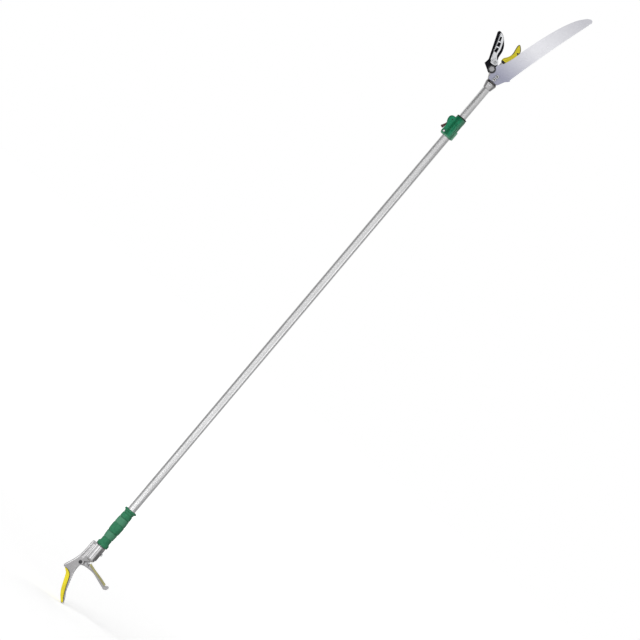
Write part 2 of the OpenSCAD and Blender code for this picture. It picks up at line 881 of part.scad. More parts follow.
module counter_blade() {
    color("gold")
        up(head_z)
            across(counter_front, counter_t)
                difference() {
                    polygon(concat(
                        [[-17.5, 83.5]],
                        spline([[-19.5, 87], [-19, 95], [-12, 105], [-8, 115], [-7.8, 125], [-9.6, 135],
                            [-11, 145], [-10, 150.5], [-6.5, 152], [-1.5, 148.5], [4, 142.5], [7.3, 136],
                            [7.8, 128], [8.5, 118]], 3),
                        [[12, 100], [12, 80], [2, 76], [-4, 83]]));
                    for (at = counter_rivet_at)
                        spot(at)
                            circle(d = counter_rivet_d + 2 * seat_gap);
                }
}

module counter_rivets() {
    head = 0.6;
    color("black")
        for (at = counter_rivet_at)
            cross_bar(at + [0, head_z], counter_rivet_d, counter_front, back_face - counter_front + head);
}

// Point of the toothed edge at a share t of its length
function saw_edge(t) =
    let (
        along = saw_point - saw_root,
        side = [along[1], -along[0]] / norm(along),
        waist = (saw_root + saw_point) / 2 - side * saw_sag
    )
    bend(saw_root, waist, saw_point, t);

module saw_outline() {
    along = saw_point - saw_root;
    side = [along[1], -along[0]] / norm(along);
    teeth = floor(norm(along) / tooth_pitch);
    lean = 0.15;
    polygon(concat(
        saw_heel,
        spline(saw_back),
        spline(saw_tip, 3),
        [for (i = [teeth - 1 : -1 : 0])
            each [
                saw_edge((i + 1) / teeth) - side * tooth_height / 2,
                saw_edge((i + lean) / teeth) + side * tooth_height / 2]],
        [saw_root - side * tooth_height / 2],
        spline(saw_foot, 3)));
}

module saw_blade() {
    color("lightsteelblue")
        up(head_z)
            across(saw_front, saw_t)
                difference() {
                    saw_outline();
                    spot(pivot_rise)
                        circle(r = washer_r + 0.8);
                    for (at = saw_screw_at)
                        spot(at)
                            circle(d = saw_screw_d + 2 * seat_gap);
                }
}

module saw_screws() {
    head = 3;
    head_rim = 2.25;
    color("silver")
        for (at = saw_screw_at) {
            cross_bar(at + [0, head_z], saw_screw_d, saw_front - head, head + saw_t + head_wall);
            cross_bar(at + [0, head_z], saw_screw_d + 2 * head_rim, saw_front - head, head);
        }
}

module pivot_bolt() {
    head = 5.5;
    head_front = wall_front - washer_t - head;
    color("dimgray") {
        cross_bar(blade_pivot, pivot_bolt_d, head_front, back_face - head_front + pivot_nut_h + 1);
        cross_hex(blade_pivot, pivot_bolt_d + 6, head_front, head);
    }
}

module pivot_washer() {
    color("silver")
        difference() {
            cross_bar(blade_pivot, 2 * washer_r, wall_front - washer_t, washer_t);
            cross_bar(blade_pivot, pivot_bolt_d + 2 * seat_gap, wall_front - 3, 6);
        }
}

module pivot_spacers() {
    spacer_r = 8;
    color("gray")
        for (span = [[wall_inside, blade_front - run_gap], [blade_t / 2 + run_gap, back_inside]])
            difference() {
                cross_bar(blade_pivot, 2 * spacer_r, span[0], span[1] - span[0]);
                cross_bar(blade_pivot, pivot_bolt_d + 2 * seat_gap, span[0] - 1, span[1] - span[0] + 2);
            }
}

pivot_nut_h = 6.5;

module pivot_nut() {
    color("dimgray")
        difference() {
            cross_hex(blade_pivot, pivot_bolt_d + 6, back_face, pivot_nut_h);
            cross_bar(blade_pivot, pivot_bolt_d + 2 * seat_gap, back_face - 1, pivot_nut_h + 2);
        }
}

module upper_rod() {
    color("lightgray")
        up(upper_rod_foot)
            cylinder(r = rod_r, h = eye_foot + eye_shank_h - 2 - upper_rod_foot);
}

module rod_eye() {
    pin_z = tail_pin_at[1];
    color("gray")
        difference() {
            union() {
                up(eye_foot)
                    cylinder(r = eye_shank_r, h = eye_shank_h);
                cross_bar([0, pin_z], 2 * eye_r, eye_front, eye_t);
                translate([-eye_r, eye_front, eye_foot])
                    cube([2 * eye_r, eye_t, pin_z - eye_foot]);
            }
            up(eye_foot - 1)
                cylinder(r = rod_r + seat_gap, h = eye_shank_h - 1);
            pin_slot([0, pin_z], rod_pin_d + 2 * slot_gap, blade_shift + side_gap, -past / 2, past);
        }
}

bush_wall = 2;

module cutting_blade() {
    heel = [[-78, 140], [-49, 67], [-50, 56], [-51, 52], [-44, 48]];
    edge = spline([[-20, 72], [-26, 79], [-30, 86], [-31.2, 94], [-32, 102], [-34.2, 111], [-39, 121],
        [-46.6, 130.5], [-56, 139.5], [-66, 145]], 3);
    tail = tail_pin_at - [0, head_z];
    tail_r = 5.5;
    lobe_r = 12;
    color("black")
        up(head_z)
            across(blade_front, blade_t)
                difference() {
                    polygon(concat(
                        heel,
                        arc(pivot_rise, lobe_r, 225, 300),
                        arc(tail, tail_r, blade_half - 90, blade_half + 90),
                        [pivot_rise + [9, 10]],
                        edge,
                        [[-72.5, 146], [-76.5, 144.5]]));
                    spot(pivot_rise)
                        circle(r = pivot_bolt_d / 2 + bush_wall + seat_gap);
                    spot(tail)
                        circle(d = rod_pin_d + 2 * seat_gap);
                    spot(hold_screw_at)
                        circle(d = hold_screw_d + 2 * seat_gap);
                }
}

module blade_bush() {
    color("goldenrod")
        difference() {
            cross_bar(blade_pivot, pivot_bolt_d + 2 * bush_wall, blade_front, blade_t);
            cross_bar(blade_pivot, pivot_bolt_d + 2 * seat_gap, blade_front - 1, blade_t + 2);
        }
}

module tail_pin() {
    color("silver")
        cross_bar(tail_pin_at, rod_pin_d, eye_front, blade_t / 2 - eye_front);
}

hold_screw_d = 6;

module hold_plate() {
    windows = [[[-59.5, 129.5], [5, 13], 18], [[-53, 115], [7.5, 12], 12], [[-48.2, 99.5], [7, 14], 8]];
    color("gainsboro")
        up(head_z)
            across(hold_front, hold_plate_t)
                difference() {
                    eased(1.5)
                        polygon(concat(
                            [[-44.5, 69], [-38, 62.5], [-27, 61.5], [-20.5, 66], [-20.5, 72], [-29.5, 80]],
                            spline([[-36.5, 87.5], [-38.6, 95], [-39.4, 103], [-41.8, 112], [-45.3, 121],
                                [-48, 127.5], [-51, 133], [-56, 138], [-65, 143]], 3),
                            [[-70.5, 143]]));
                    for (w = windows)
                        spot(w[0])
                            rotate(w[2])
                                eased(1)
                                    square(w[1], center = true);
                    spot(hold_screw_at)
                        circle(d = hold_screw_d + 2 * seat_gap);
                }
}

module hold_screw() {
    at = hold_screw_at + [0, head_z];
    flange = 1.4;
    head = 1.8;
    color("silver") {
        cross_bar(at, hold_screw_d, hold_front - flange, flange + hold_plate_t + blade_t);
        cross_bar(at, 3 * hold_screw_d, hold_front - flange, flange);
        cross_bar(at, hold_screw_d + 4, hold_front - flange - head, head);
    }
}

handle_body();
handle_cover();
socket_screw();
trigger_pin();
pin_clip();
outer_tube();
hand_grip();
rod_bush();
return_spring();
lock_housing();
wiper_ring();
clamp_screw();
clamp_nut();
lever_pin();
lever_spring();
brake_shoe();
trigger_lever();
trigger_cover();
rod_pin();
rod_clevis();
spring_collar();
lower_rod();
clutch_body();
clutch_plates();
clutch_spring();
clutch_cap();
inner_tube();
tube_foot();
head_bracket();
head_screws();
counter_blade();
counter_rivets();
saw_blade();
saw_screws();
pivot_bolt();
pivot_washer();
pivot_spacers();
pivot_nut();
upper_rod();
rod_eye();
cutting_blade();
blade_bush();
tail_pin();
hold_plate();
hold_screw();
lock_lever();
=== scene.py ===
import json
import math

import bmesh
import bpy
from bpy.props import FloatProperty, FloatVectorProperty, IntProperty, PointerProperty
from mathutils import Matrix, Vector


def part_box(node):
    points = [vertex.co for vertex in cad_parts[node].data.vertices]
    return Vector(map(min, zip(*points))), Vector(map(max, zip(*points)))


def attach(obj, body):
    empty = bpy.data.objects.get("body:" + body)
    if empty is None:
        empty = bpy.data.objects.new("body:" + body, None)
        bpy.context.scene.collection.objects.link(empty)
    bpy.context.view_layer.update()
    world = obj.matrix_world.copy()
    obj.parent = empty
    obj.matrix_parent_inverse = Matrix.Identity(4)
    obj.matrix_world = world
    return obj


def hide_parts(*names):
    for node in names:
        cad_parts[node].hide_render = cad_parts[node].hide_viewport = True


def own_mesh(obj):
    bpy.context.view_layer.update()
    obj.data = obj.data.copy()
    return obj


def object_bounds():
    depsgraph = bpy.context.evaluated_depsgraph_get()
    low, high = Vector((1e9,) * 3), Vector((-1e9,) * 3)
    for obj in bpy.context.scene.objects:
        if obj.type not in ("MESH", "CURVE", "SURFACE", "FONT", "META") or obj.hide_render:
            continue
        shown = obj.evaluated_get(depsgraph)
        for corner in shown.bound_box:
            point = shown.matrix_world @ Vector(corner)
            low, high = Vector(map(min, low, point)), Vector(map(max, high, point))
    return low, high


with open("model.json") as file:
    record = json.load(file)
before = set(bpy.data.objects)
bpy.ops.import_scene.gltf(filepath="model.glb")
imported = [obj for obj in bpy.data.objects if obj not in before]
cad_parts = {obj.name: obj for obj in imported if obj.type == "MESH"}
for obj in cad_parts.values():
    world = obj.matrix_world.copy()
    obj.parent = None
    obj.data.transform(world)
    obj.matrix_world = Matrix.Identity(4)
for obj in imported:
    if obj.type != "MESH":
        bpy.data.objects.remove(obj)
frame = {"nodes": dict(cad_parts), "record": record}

bl_info = {
    "name": "Tree Pruner Pole",
    "version": (1, 0, 0),
    "blender": (4, 5, 0),
    "location": "3D View > Sidebar > Pruner",
    "description": "Dresses the solids of a telescopic tree pruner with finishes and finer pieces",
    "category": "Object",
}

CAD_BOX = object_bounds()
NODES = frame["nodes"]
SLOT_OF = {row["node"]: row["material_slot"] for row in frame["record"]["subparts"]}
BODY_OF = {
    node: body
    for body, nodes in frame["record"]["behaviour"]["bodies"].items()
    for node in nodes
}

MM = 0.001
RIGHT = Vector((1, 0, 0))
FRONT = Vector((0, -1, 0))
BACK = Vector((0, 1, 0))
UP = Vector((0, 0, 1))
WHITE = (1.0, 1.0, 1.0)

# Places on the tool, in the frame of the solids
TOOL_MIDDLE = Vector((0.05, 0, 0.8))
TRIGGER_PIVOT = Vector((-0.016, 0, -0.1335))
BLADE_PIVOT = Vector((-0.024, 0, 1.6295))
LEVER_PIN = Vector((-0.017, 0, 1.4545))
CLAMP_SCREW = Vector((-0.016, 0, 1.416))
SOCKET_SCREW = Vector((0, 0, -0.0835))
HEAD_SCREWS = Vector((0, 0, 1.5935))
SAW_SCREWS = [Vector((0, 0, 1.6115)), Vector((0.001, 0, 1.6225))]
HOLD_SCREW = Vector((-0.029, 0, 1.6505))
HOOK_RIVETS = [Vector((0.003, 0, 1.7085)), Vector((0.005, 0, 1.6675))]
RIVET_ROOM = 0.0035
BUSH_TOP = -0.096
HOOK_FOOT = 1.6685
HOOK_WAIST = 1.698
GRIP_BANDS = [(-0.037, -0.015), (0.013, 0.035)]
GRIP_TOP_RING = 0.050
HANDLE_EDGE = -0.0272
ARM_TOP = -0.168
ARM_TOE = -0.242
BOSS_FOOT = -0.146
COVER_END = -0.031
EDGE_FOOT = Vector((-0.0235, 0, 1.6555))
PLATE_FOOT = Vector((-0.0445, 0, 1.6485))

# Leans of the cutting edge and of the back of the hold plate, as the change of X for a step in Z
EDGE_LEAN = -0.62
PLATE_LEAN = -0.3514
# How far the side of the cover looks up and to the pole along its seam
SEAM_LEAN = 0.3
# Corners of the saw that are sharper than this are the tips of its teeth
TOOTH_ANGLE = math.radians(75)

# Lines and spans of the tints on single pieces, by height, by place across or by distance from a line; most
# of these tints are painted shade, highlights and reflection
SAW_ROOT = (1.63, 1.74)
SAW_POINT = (1.77, 1.89)
BAND_EASE = 0.002
LOCK_SEAM = -0.007
LOCK_SEAM_EDGE = (0.001, 0.0075)
LOCK_EAR = (-0.0292, -0.0240)
LOCK_ROOF = (1.460, 1.4715)
LOCK_CORNER_X = (-0.0222, -0.0180)
LOCK_CORNER_Z = (1.414, 1.428)
LOCK_SIDE = (0.002, 0.016)
LOCK_FOOT = (1.4085, 1.413)
COLLAR_TOP = 1.600
COLLAR_EDGE = (0.0015, 0.0035)
THROAT_SLOPE = 0.78
THROAT_EDGE = (-0.1232, -0.1207)
THROAT_SIDE = (-0.0105, -0.0095)


def length(name, description, default_mm):
    """A length that a user may change, given here in millimetres and kept in metres."""
    return FloatProperty(
        name=name, description=description, default=default_mm * MM, min=0.0, precision=5, unit="LENGTH")


def tint(name, description, rgb):
    """A colour that a user may change, as linear red, green and blue."""
    return FloatVectorProperty(
        name=name, description=description, default=rgb, size=3, min=0.0, max=1.0, subtype="COLOR")


class PrunerSizes(bpy.types.PropertyGroup):
    """Sizes of the finer forms that the solids leave out."""

    cast_detail: length("Cast detail", "Smallest form kept on the alloy castings", 0.9)
    moulded_detail: length("Moulded detail", "Smallest form kept on the plastic mouldings", 0.7)
    cast_rounds: IntProperty(
        name="Cast rounding", description="Rounds of smoothing on the edges of a casting", default=4, min=0)
    handle_rounds: IntProperty(
        name="Handle rounding", description="Rounds of smoothing on the handle casting", default=10, min=0)
    cover_rounds: IntProperty(
        name="Cover rounding", description="Rounds of smoothing on the cover of the arm", default=16, min=0)
    grip_ring_depth: length("Ring depth", "Depth of the moulded rings in the grip", 1.4)
    grip_ring_width: length("Ring width", "Half width of a moulded ring in the grip", 1.3)
    grip_rib_depth: length("Rib depth", "Depth of the fine ribs in the two bands of the grip", 0.35)
    grip_rib_pitch: length("Rib pitch", "Distance from one fine rib of the grip to the next", 2.5)
    handle_ease: length("Handle edge", "Rounding along the outline of the cast handle", 2.4)
    arm_ease: length("Arm edge", "Rounding along both edges of the fixed arm", 1.4)
    cover_slope: length("Cover slope", "Width of the slope from the arm's cover down to the arm", 3.0)
    plate_ease: length("Plate edge", "Bevel round the rim of a stamped plate", 0.2)
    plate_round: length("Plate round", "Rounding along the back of the hold plate", 2.3)
    hook_bevel: length("Hook bevel", "Width of the ground edge of the hook", 2.4)
    blade_grind: length("Blade grind", "Width of the ground edge of the cutting blade", 2.2)
    saw_set: length("Tooth set", "How far each saw tooth is bent to its side", 0.35)
    socket_depth: length("Socket depth", "Depth of the six-sided sockets in the screws", 2.5)


class PrunerColours(bpy.types.PropertyGroup):
    """Colours of the finishes, by the material slots of the part."""

    cast_alloy: tint("Cast alloy", "Handle, trigger and head castings", (0.38, 0.375, 0.38))
    tube_alloy: tint("Tube alloy", "Drawn aluminium tubes", (0.63, 0.63, 0.635))
    grip_rubber: tint("Grip rubber", "Moulded green grip", (0.030, 0.200, 0.098))
    scuffed_rubber: tint("Scuffed rubber", "Ribbed bands of the grip", (0.070, 0.252, 0.145))
    green_plastic: tint("Green plastic", "Housing of the tube lock", (0.012, 0.180, 0.088))
    # The next two colours are painted shade and a painted highlight on the tube lock
    deep_green: tint("Deep green", "Shaded seam and corners of the tube lock", (0.001, 0.085, 0.034))
    faded_green: tint("Faded green", "Sun-bleached side and foot of the tube lock", (0.150, 0.330, 0.225))
    yellow_plastic: tint("Yellow plastic", "Cover of the fixed arm", (0.93, 0.78, 0.03))
    pale_plastic: tint("Pale plastic", "Cover of the trigger", (0.41, 0.38, 0.17))
    brown_plastic: tint("Brown plastic", "Lever of the tube lock", (0.055, 0.020, 0.017))
    black_plastic: tint("Black plastic", "Bushes and collars", (0.016, 0.016, 0.017))
    black_rubber: tint("Black rubber", "Wiper and brake shoe", (0.013, 0.013, 0.014))
    yellow_paint: tint("Yellow paint", "Hook that the blade passes", (0.56, 0.48, 0.012))
    # The next colour darkens the hook's foot and its left edge
    worn_edge: tint("Worn edge", "Ground edge of the hook", (0.014, 0.011, 0.003))
    black_coat: tint("Black coat", "Coat of the cutting blade", (0.005, 0.005, 0.007))
    # The next three colours paint a reflection along the saw, from a darker, slightly blue root over a bright
    # middle to a duller point
    saw_steel: tint("Saw steel", "Middle of the polished saw blade", (0.82, 0.82, 0.86))
    saw_root: tint("Saw root", "Root of the saw blade", (0.37, 0.375, 0.47))
    saw_point: tint("Saw point", "Point of the saw blade", (0.58, 0.58, 0.62))
    bright_steel: tint("Bright steel", "Plated screws and hold plate", (0.70, 0.71, 0.73))
    dark_steel: tint("Dark steel", "Blackened bolts and rivets", (0.050, 0.050, 0.053))
    plain_steel: tint("Plain steel", "Rods, springs and pins", (0.40, 0.40, 0.41))
    bearing_brass: tint("Bearing brass", "Clutch and bushes", (0.62, 0.42, 0.13))
    bare_metal: tint("Bare metal", "What shows where a coat is worn off", (0.52, 0.52, 0.53))
    # This colour serves dust patches and hand marks, and also painted shade in the hollows and on the collar
    # top
    soil: tint("Soil", "Grime in the hollows and hand marks", (0.035, 0.032, 0.030))


def place(tree, kind, inputs=None, **settings):
    """Adds a node to a tree, then sets or links its inputs by name or number."""
    node = tree.nodes.new(kind)
    for key, value in settings.items():
        setattr(node, key, value)
    for key, value in (inputs or {}).items():
        socket = node.inputs[key]
        if isinstance(value, bpy.types.NodeSocket):
            tree.links.new(value, socket)
        else:
            socket.default_value = value
    return node


def mixed(tree, share, first, second):
    """Mixes two colours by a share and gives the colour's socket."""
    node = place(tree, "ShaderNodeMix", {0: share, 6: first, 7: second}, data_type="RGBA")
    return node.outputs[2]


def spread(tree, value, span=(0.0, 1.0), to=(0.0, 1.0)):
    """Maps a value from its span to another and gives the result's socket."""
    limits = {"Value": value, "From Min": span[0], "From Max": span[1], "To Min": to[0], "To Max": to[1]}
    return place(tree, "ShaderNodeMapRange", limits).outputs["Result"]


def maths(tree, operation, first, second=0.0, **settings):
    """Joins two values by an operation and gives the result's socket."""
    return place(tree, "ShaderNodeMath", {0: first, 1: second}, operation=operation, **settings).outputs[0]


def times(tree, first, second):
    """Multiplies two values and gives the product's socket."""
    return maths(tree, "MULTIPLY", first, second)


def away_from(tree, value, level):
    """How far a value is from a level, on either side."""
    return maths(tree, "ABSOLUTE", maths(tree, "SUBTRACT", value, level))


def noise(tree, spot, often, detail, roughness=0.5):
    """Cloudy noise that changes so often in a metre, as a value's socket."""
    inputs = {"Vector": spot, "Scale": often, "Detail": detail, "Roughness": roughness}
    return place(tree, "ShaderNodeTexNoise", inputs).outputs["Fac"]


def surface_spot(tree):
    """The socket of a point on the surface, in the frame of the solids."""
    return place(tree, "ShaderNodeTexCoord").outputs["Object"]


def surface_parts(tree):
    """The sockets X, Y and Z of a point on the surface."""
    return place(tree, "ShaderNodeSeparateXYZ", {"Vector": surface_spot(tree)}).outputs


def scaled(rgb, share=1.0):
    """A colour made lighter or darker, with alpha."""
    return [min(1.0, channel * share) for channel in rgb] + [1.0]


def new_group(name, inputs, outputs):
    """An empty shader group with named inputs and outputs that vary over the surface, and their sockets."""
    tree = bpy.data.node_groups.new(name, "ShaderNodeTree")
    for label, value in inputs.items():
        kind = "NodeSocketVector" if isinstance(value, tuple) else "NodeSocketFloat"
        tree.interface.new_socket(label, in_out="INPUT", socket_type=kind).default_value = value
    for label in outputs:
        tree.interface.new_socket(label, in_out="OUTPUT", socket_type="NodeSocketFloat")
    return tree, tree.nodes.new("NodeGroupInput").outputs, tree.nodes.new("NodeGroupOutput").inputs


def surface_group():
    """Fine relief and broad tone of a cast or moulded surface, by the size of its grain."""
    tree, given, made = new_group("Surface grain", {"Size": 0.001}, ["Tone", "Height"])
    spot = surface_spot(tree)
    fine = maths(tree, "DIVIDE", 1.0, given["Size"])
    patch_share = 0.045
    patches = noise(tree, spot, times(tree, fine, patch_share), detail=3.0)
    tree.links.new(spread(tree, patches, span=(0.3, 0.7)), made["Tone"])
    tree.links.new(noise(tree, spot, fine, detail=5.0, roughness=0.6), made["Height"])
    return tree


def lines_group():
    """Streaks of a drawn, turned or ground surface, by how often they repeat along each axis."""
    tree, given, made = new_group("Drawn lines", {"Fineness": (500.0, 500.0, 5.0)}, ["Tone", "Height"])
    spot = surface_spot(tree)
    stretched = place(tree, "ShaderNodeVectorMath", {0: spot, 1: given["Fineness"]}, operation="MULTIPLY")
    streaks = noise(tree, stretched.outputs[0], often=1.0, detail=4.0, roughness=0.55)
    patches = noise(tree, spot, often=9.0, detail=2.0)
    tree.links.new(spread(tree, maths(tree, "ADD", streaks, patches), span=(0.7, 1.3)), made["Tone"])
    tree.links.new(streaks, made["Height"])
    return tree


def wear_group():
    """Broken wear along the outward edges of a piece."""
    tree, given, made = new_group("Edge wear", {"Start": 0.53, "End": 0.60, "Size": 0.004}, ["Mask"])
    edge = place(tree, "ShaderNodeNewGeometry").outputs["Pointiness"]
    sharp = spread(tree, edge, span=(given["Start"], given["End"]))
    often = maths(tree, "DIVIDE", 1.0, given["Size"])
    breaks = noise(tree, surface_spot(tree), often, detail=5.0, roughness=0.65)
    tree.links.new(times(tree, sharp, spread(tree, breaks, span=(0.38, 0.62))), made["Mask"])
    return tree


def soil_and_shade_group():
    """Thin patches of dust and hand marks, and painted shade in the hollows, with some grime in it."""
    inputs = {"Size": 0.03, "Amount": 0.2, "Hollows": 0.5, "Openness": 0.75}
    tree, given, made = new_group("Handling soil", inputs, ["Mask"])
    often = maths(tree, "DIVIDE", 1.0, given["Size"])
    cloud = noise(tree, surface_spot(tree), often, detail=6.0, roughness=0.7)
    patch = times(tree, spread(tree, cloud, span=(0.5, 0.75)), given["Amount"])
    # Painted shade in the hollows, darker where the surface is closed in, with some grime in it
    openness = place(tree, "ShaderNodeAmbientOcclusion", {"Distance": 0.006}, samples=8).outputs["AO"]
    closed = spread(tree, openness, span=(0.35, given["Openness"]), to=(1.0, 0.0))
    hollow_shade = times(tree, closed, given["Hollows"])
    tree.links.new(maths(tree, "MAXIMUM", patch, hollow_shade), made["Mask"])
    return tree


GROUP_MAKERS = {"grain": surface_group, "lines": lines_group, "wear": wear_group, "soil": soil_and_shade_group}
GROUPS = {}


def effect(tree, name, inputs):
    """Places a shared effect in a material with its own values."""
    if name not in GROUPS:
        GROUPS[name] = GROUP_MAKERS[name]()
    return place(tree, "ShaderNodeGroup", inputs, node_tree=GROUPS[name])


# How each finish is built: a grain size or line fineness, the span of its tone and roughness, the depth of
# its relief, what shows at worn and ground edges, how much soil it holds in the open, and how much painted
# shade darkens its hollows
LOOKS = {
    "cast_alloy": dict(grain=0.0011, tone=(0.86, 1.08), rough=(0.12, 0.18), metallic=0.9, relief=0.00001,
                       wear="bare_metal", wear_share=0.75, soil=0.14, hollows=0.9, openness=0.88),
    "tube_alloy": dict(lines=(650.0, 650.0, 5.0), tone=(0.90, 1.06), rough=(0.24, 0.34), metallic=1.0,
                       relief=0.000008, soil=0.05, hollows=0.5),
    "grip_rubber": dict(grain=0.0007, tone=(0.84, 1.14), rough=(0.50, 0.68), relief=0.00008, soil=0.06,
                        hollows=0.9, openness=0.95, gloss=0.3),
    "green_plastic": dict(grain=0.0009, tone=(0.82, 1.16), rough=(0.24, 0.38), relief=0.00004,
                          soil=0.05, hollows=0.9, openness=0.92, gloss=0.15),
    "yellow_plastic": dict(grain=0.0010, tone=(0.84, 1.05), rough=(0.28, 0.42), relief=0.00004, soil=0.06,
                           hollows=0.9, openness=0.98, gloss=0.35),
    "pale_plastic": dict(grain=0.0010, tone=(0.84, 1.08), rough=(0.34, 0.48), relief=0.00005, soil=0.08,
                         hollows=0.45, gloss=0.3),
    "brown_plastic": dict(grain=0.0008, tone=(0.8, 1.2), rough=(0.30, 0.44), relief=0.00004, soil=0.06,
                          hollows=0.4, gloss=0.3),
    "black_plastic": dict(grain=0.0008, tone=(0.8, 1.25), rough=(0.36, 0.52), relief=0.00004, soil=0.08,
                          hollows=0.2, gloss=0.3),
    "black_rubber": dict(grain=0.0006, tone=(0.8, 1.3), rough=(0.55, 0.75), relief=0.00006, soil=0.10,
                         hollows=0.2, gloss=0.2),
    "yellow_paint": dict(grain=0.0022, tone=(0.90, 1.05), rough=(0.22, 0.34), relief=0.00004,
                         ground="worn_edge", soil=0.04, hollows=0.6, gloss=0.4),
    "black_coat": dict(grain=0.0012, tone=(0.7, 1.4), rough=(0.24, 0.36), relief=0.00003,
                       ground="dark_steel", soil=0.02, hollows=0.1, gloss=0.03),
    "saw_steel": dict(lines=(300.0, 300.0, 24.0), tone=(0.95, 1.02), rough=(0.20, 0.28), metallic=1.0,
                      relief=0.000005, soil=0.02, hollows=0.95, openness=0.9),
    "bright_steel": dict(grain=0.0030, tone=(0.88, 1.06), rough=(0.05, 0.12), metallic=1.0, relief=0.00001,
                         soil=0.05, hollows=0.95, openness=0.9),
    "dark_steel": dict(grain=0.0015, tone=(0.85, 1.15), rough=(0.20, 0.30), metallic=0.8, relief=0.00001,
                       soil=0.04, hollows=0.5),
    "plain_steel": dict(lines=(120.0, 120.0, 2600.0), tone=(0.84, 1.08), rough=(0.26, 0.42), metallic=1.0,
                        relief=0.000012, soil=0.06, hollows=0.6),
    "bearing_brass": dict(lines=(150.0, 150.0, 2200.0), tone=(0.82, 1.08), rough=(0.24, 0.40), metallic=1.0,
                          relief=0.000012, soil=0.06, hollows=0.5),
}
FINISHES = {}


def painted_saw_reflection(tree, colours, shade):
    """Paints a reflection onto the saw, from a darker, slightly blue root over a bright middle to a duller
    point.
    """
    height = surface_parts(tree)["Z"]
    shade = mixed(tree, spread(tree, height, SAW_ROOT, to=(1.0, 0.0)), shade, scaled(colours.saw_root))
    return mixed(tree, spread(tree, height, SAW_POINT), shade, scaled(colours.saw_point))


def banded(tree, colours, shade):
    """Pales the ribbed bands of the grip."""
    height = surface_parts(tree)["Z"]
    for low, high in GRIP_BANDS:
        half = (high - low) / 2
        away = away_from(tree, height, (low + high) / 2)
        inside = spread(tree, away, (half - BAND_EASE, half), to=(1.0, 0.0))
        shade = mixed(tree, inside, shade, scaled(colours.scuffed_rubber))
    return shade


def painted_lock_light(tree, colours, shade):
    """Paints shade into the seam, ear, roof and lower corner of the tube lock, and a highlight onto its side
    and its foot.
    """
    parts = surface_parts(tree)
    seam = spread(tree, away_from(tree, parts["X"], LOCK_SEAM), LOCK_SEAM_EDGE, to=(0.95, 0.0))
    ear = spread(tree, parts["X"], LOCK_EAR, to=(1.0, 0.0))
    roof = spread(tree, parts["Z"], LOCK_ROOF, to=(0.0, 0.75))
    beside = spread(tree, parts["X"], LOCK_CORNER_X, to=(1.0, 0.0))
    corner = times(tree, beside, spread(tree, parts["Z"], LOCK_CORNER_Z, to=(1.0, 0.0)))
    for zone in (seam, ear, roof, corner):
        shade = mixed(tree, zone, shade, scaled(colours.deep_green))
    side = spread(tree, parts["X"], LOCK_SIDE, to=(0.0, 0.9))
    foot = spread(tree, parts["Z"], LOCK_FOOT, to=(0.7, 0.0))
    return mixed(tree, maths(tree, "MAXIMUM", side, foot), shade, scaled(colours.faded_green))


def painted_collar_shadow(tree, colours, shade):
    """Paints shadow on the top of the head's collar, in the gap under the saw."""
    away = away_from(tree, surface_parts(tree)["Z"], COLLAR_TOP)
    return mixed(tree, spread(tree, away, COLLAR_EDGE, to=(0.9, 0.0)), shade, scaled(colours.soil))


def clevis_throat_shadow(tree, colours, shade):
    """Makes the dark clevis pale below the throat of the handle, and leaves a dark strip along the throat as
    painted shadow.
    """
    parts = surface_parts(tree)
    along = maths(tree, "SUBTRACT", parts["Z"], times(tree, parts["X"], THROAT_SLOPE))
    below = spread(tree, along, THROAT_EDGE, to=(0.9, 0.0))
    beside = spread(tree, parts["X"], THROAT_SIDE)
    return mixed(tree, times(tree, below, beside), shade, scaled(colours.bare_metal))


# Finishes whose colour changes from place to place on a piece; most of these changes are painted shade,
# highlights and reflection
TINTS = {
    "saw_steel": painted_saw_reflection,
    "grip_rubber": banded,
    "green_plastic": painted_lock_light,
    "dark_steel": clevis_throat_shadow,
    "cast_alloy": painted_collar_shadow,
}


def new_material(name):
    """An empty material and its tree of nodes."""
    material = bpy.data.materials.new(name)
    material.use_nodes = True
    material.node_tree.nodes.clear()
    return material, material.node_tree


def make_finish(slot):
    """Builds the procedural material of one slot from its colour and its look."""
    look = LOOKS[slot]
    colours = bpy.context.scene.pruner_colours
    colour = getattr(colours, slot)
    material, tree = new_material("finish_" + slot)
    if "lines" in look:
        surface = effect(tree, "lines", {"Fineness": look["lines"]})
    else:
        surface = effect(tree, "grain", {"Size": look["grain"]})
    low, high = look["tone"]
    tone = surface.outputs["Tone"]
    shade = mixed(tree, tone, scaled(colour, low), scaled(colour, high))
    if slot in TINTS:
        shade = TINTS[slot](tree, colours, shade)
    if "ground" in look:
        ground = place(tree, "ShaderNodeAttribute", attribute_name="ground").outputs["Fac"]
        shade = mixed(tree, ground, shade, scaled(getattr(colours, look["ground"])))
    if "wear" in look:
        worn = effect(tree, "wear", {"Size": 0.004})
        share = times(tree, worn.outputs["Mask"], look["wear_share"])
        shade = mixed(tree, share, shade, scaled(getattr(colours, look["wear"])))
    # Dust and hand marks in the open, and painted shade in the hollows
    soil_and_shade_mask = effect(tree, "soil", {
        "Size": 0.03,
        "Amount": look["soil"],
        "Hollows": look["hollows"],
        "Openness": look.get("openness", 0.75),
    })
    shade = mixed(tree, soil_and_shade_mask.outputs["Mask"], shade, scaled(colours.soil))
    smooth, dull = look["rough"]
    bump = place(
        tree, "ShaderNodeBump",
        {"Height": surface.outputs["Height"], "Distance": look["relief"], "Strength": 1.0})
    principled = place(tree, "ShaderNodeBsdfPrincipled", {
        "Base Color": shade,
        "Roughness": spread(tree, tone, to=(dull, smooth)),
        "Metallic": look.get("metallic", 0.0),
        "Specular IOR Level": look.get("gloss", 0.5),
        "Normal": bump.outputs["Normal"],
    })
    place(tree, "ShaderNodeOutputMaterial", {"Surface": principled.outputs["BSDF"]})
    return material


def finish(slot):
    """The material of a slot, built when it is first asked for."""
    if slot not in FINISHES:
        FINISHES[slot] = make_finish(slot)
    return FINISHES[slot]


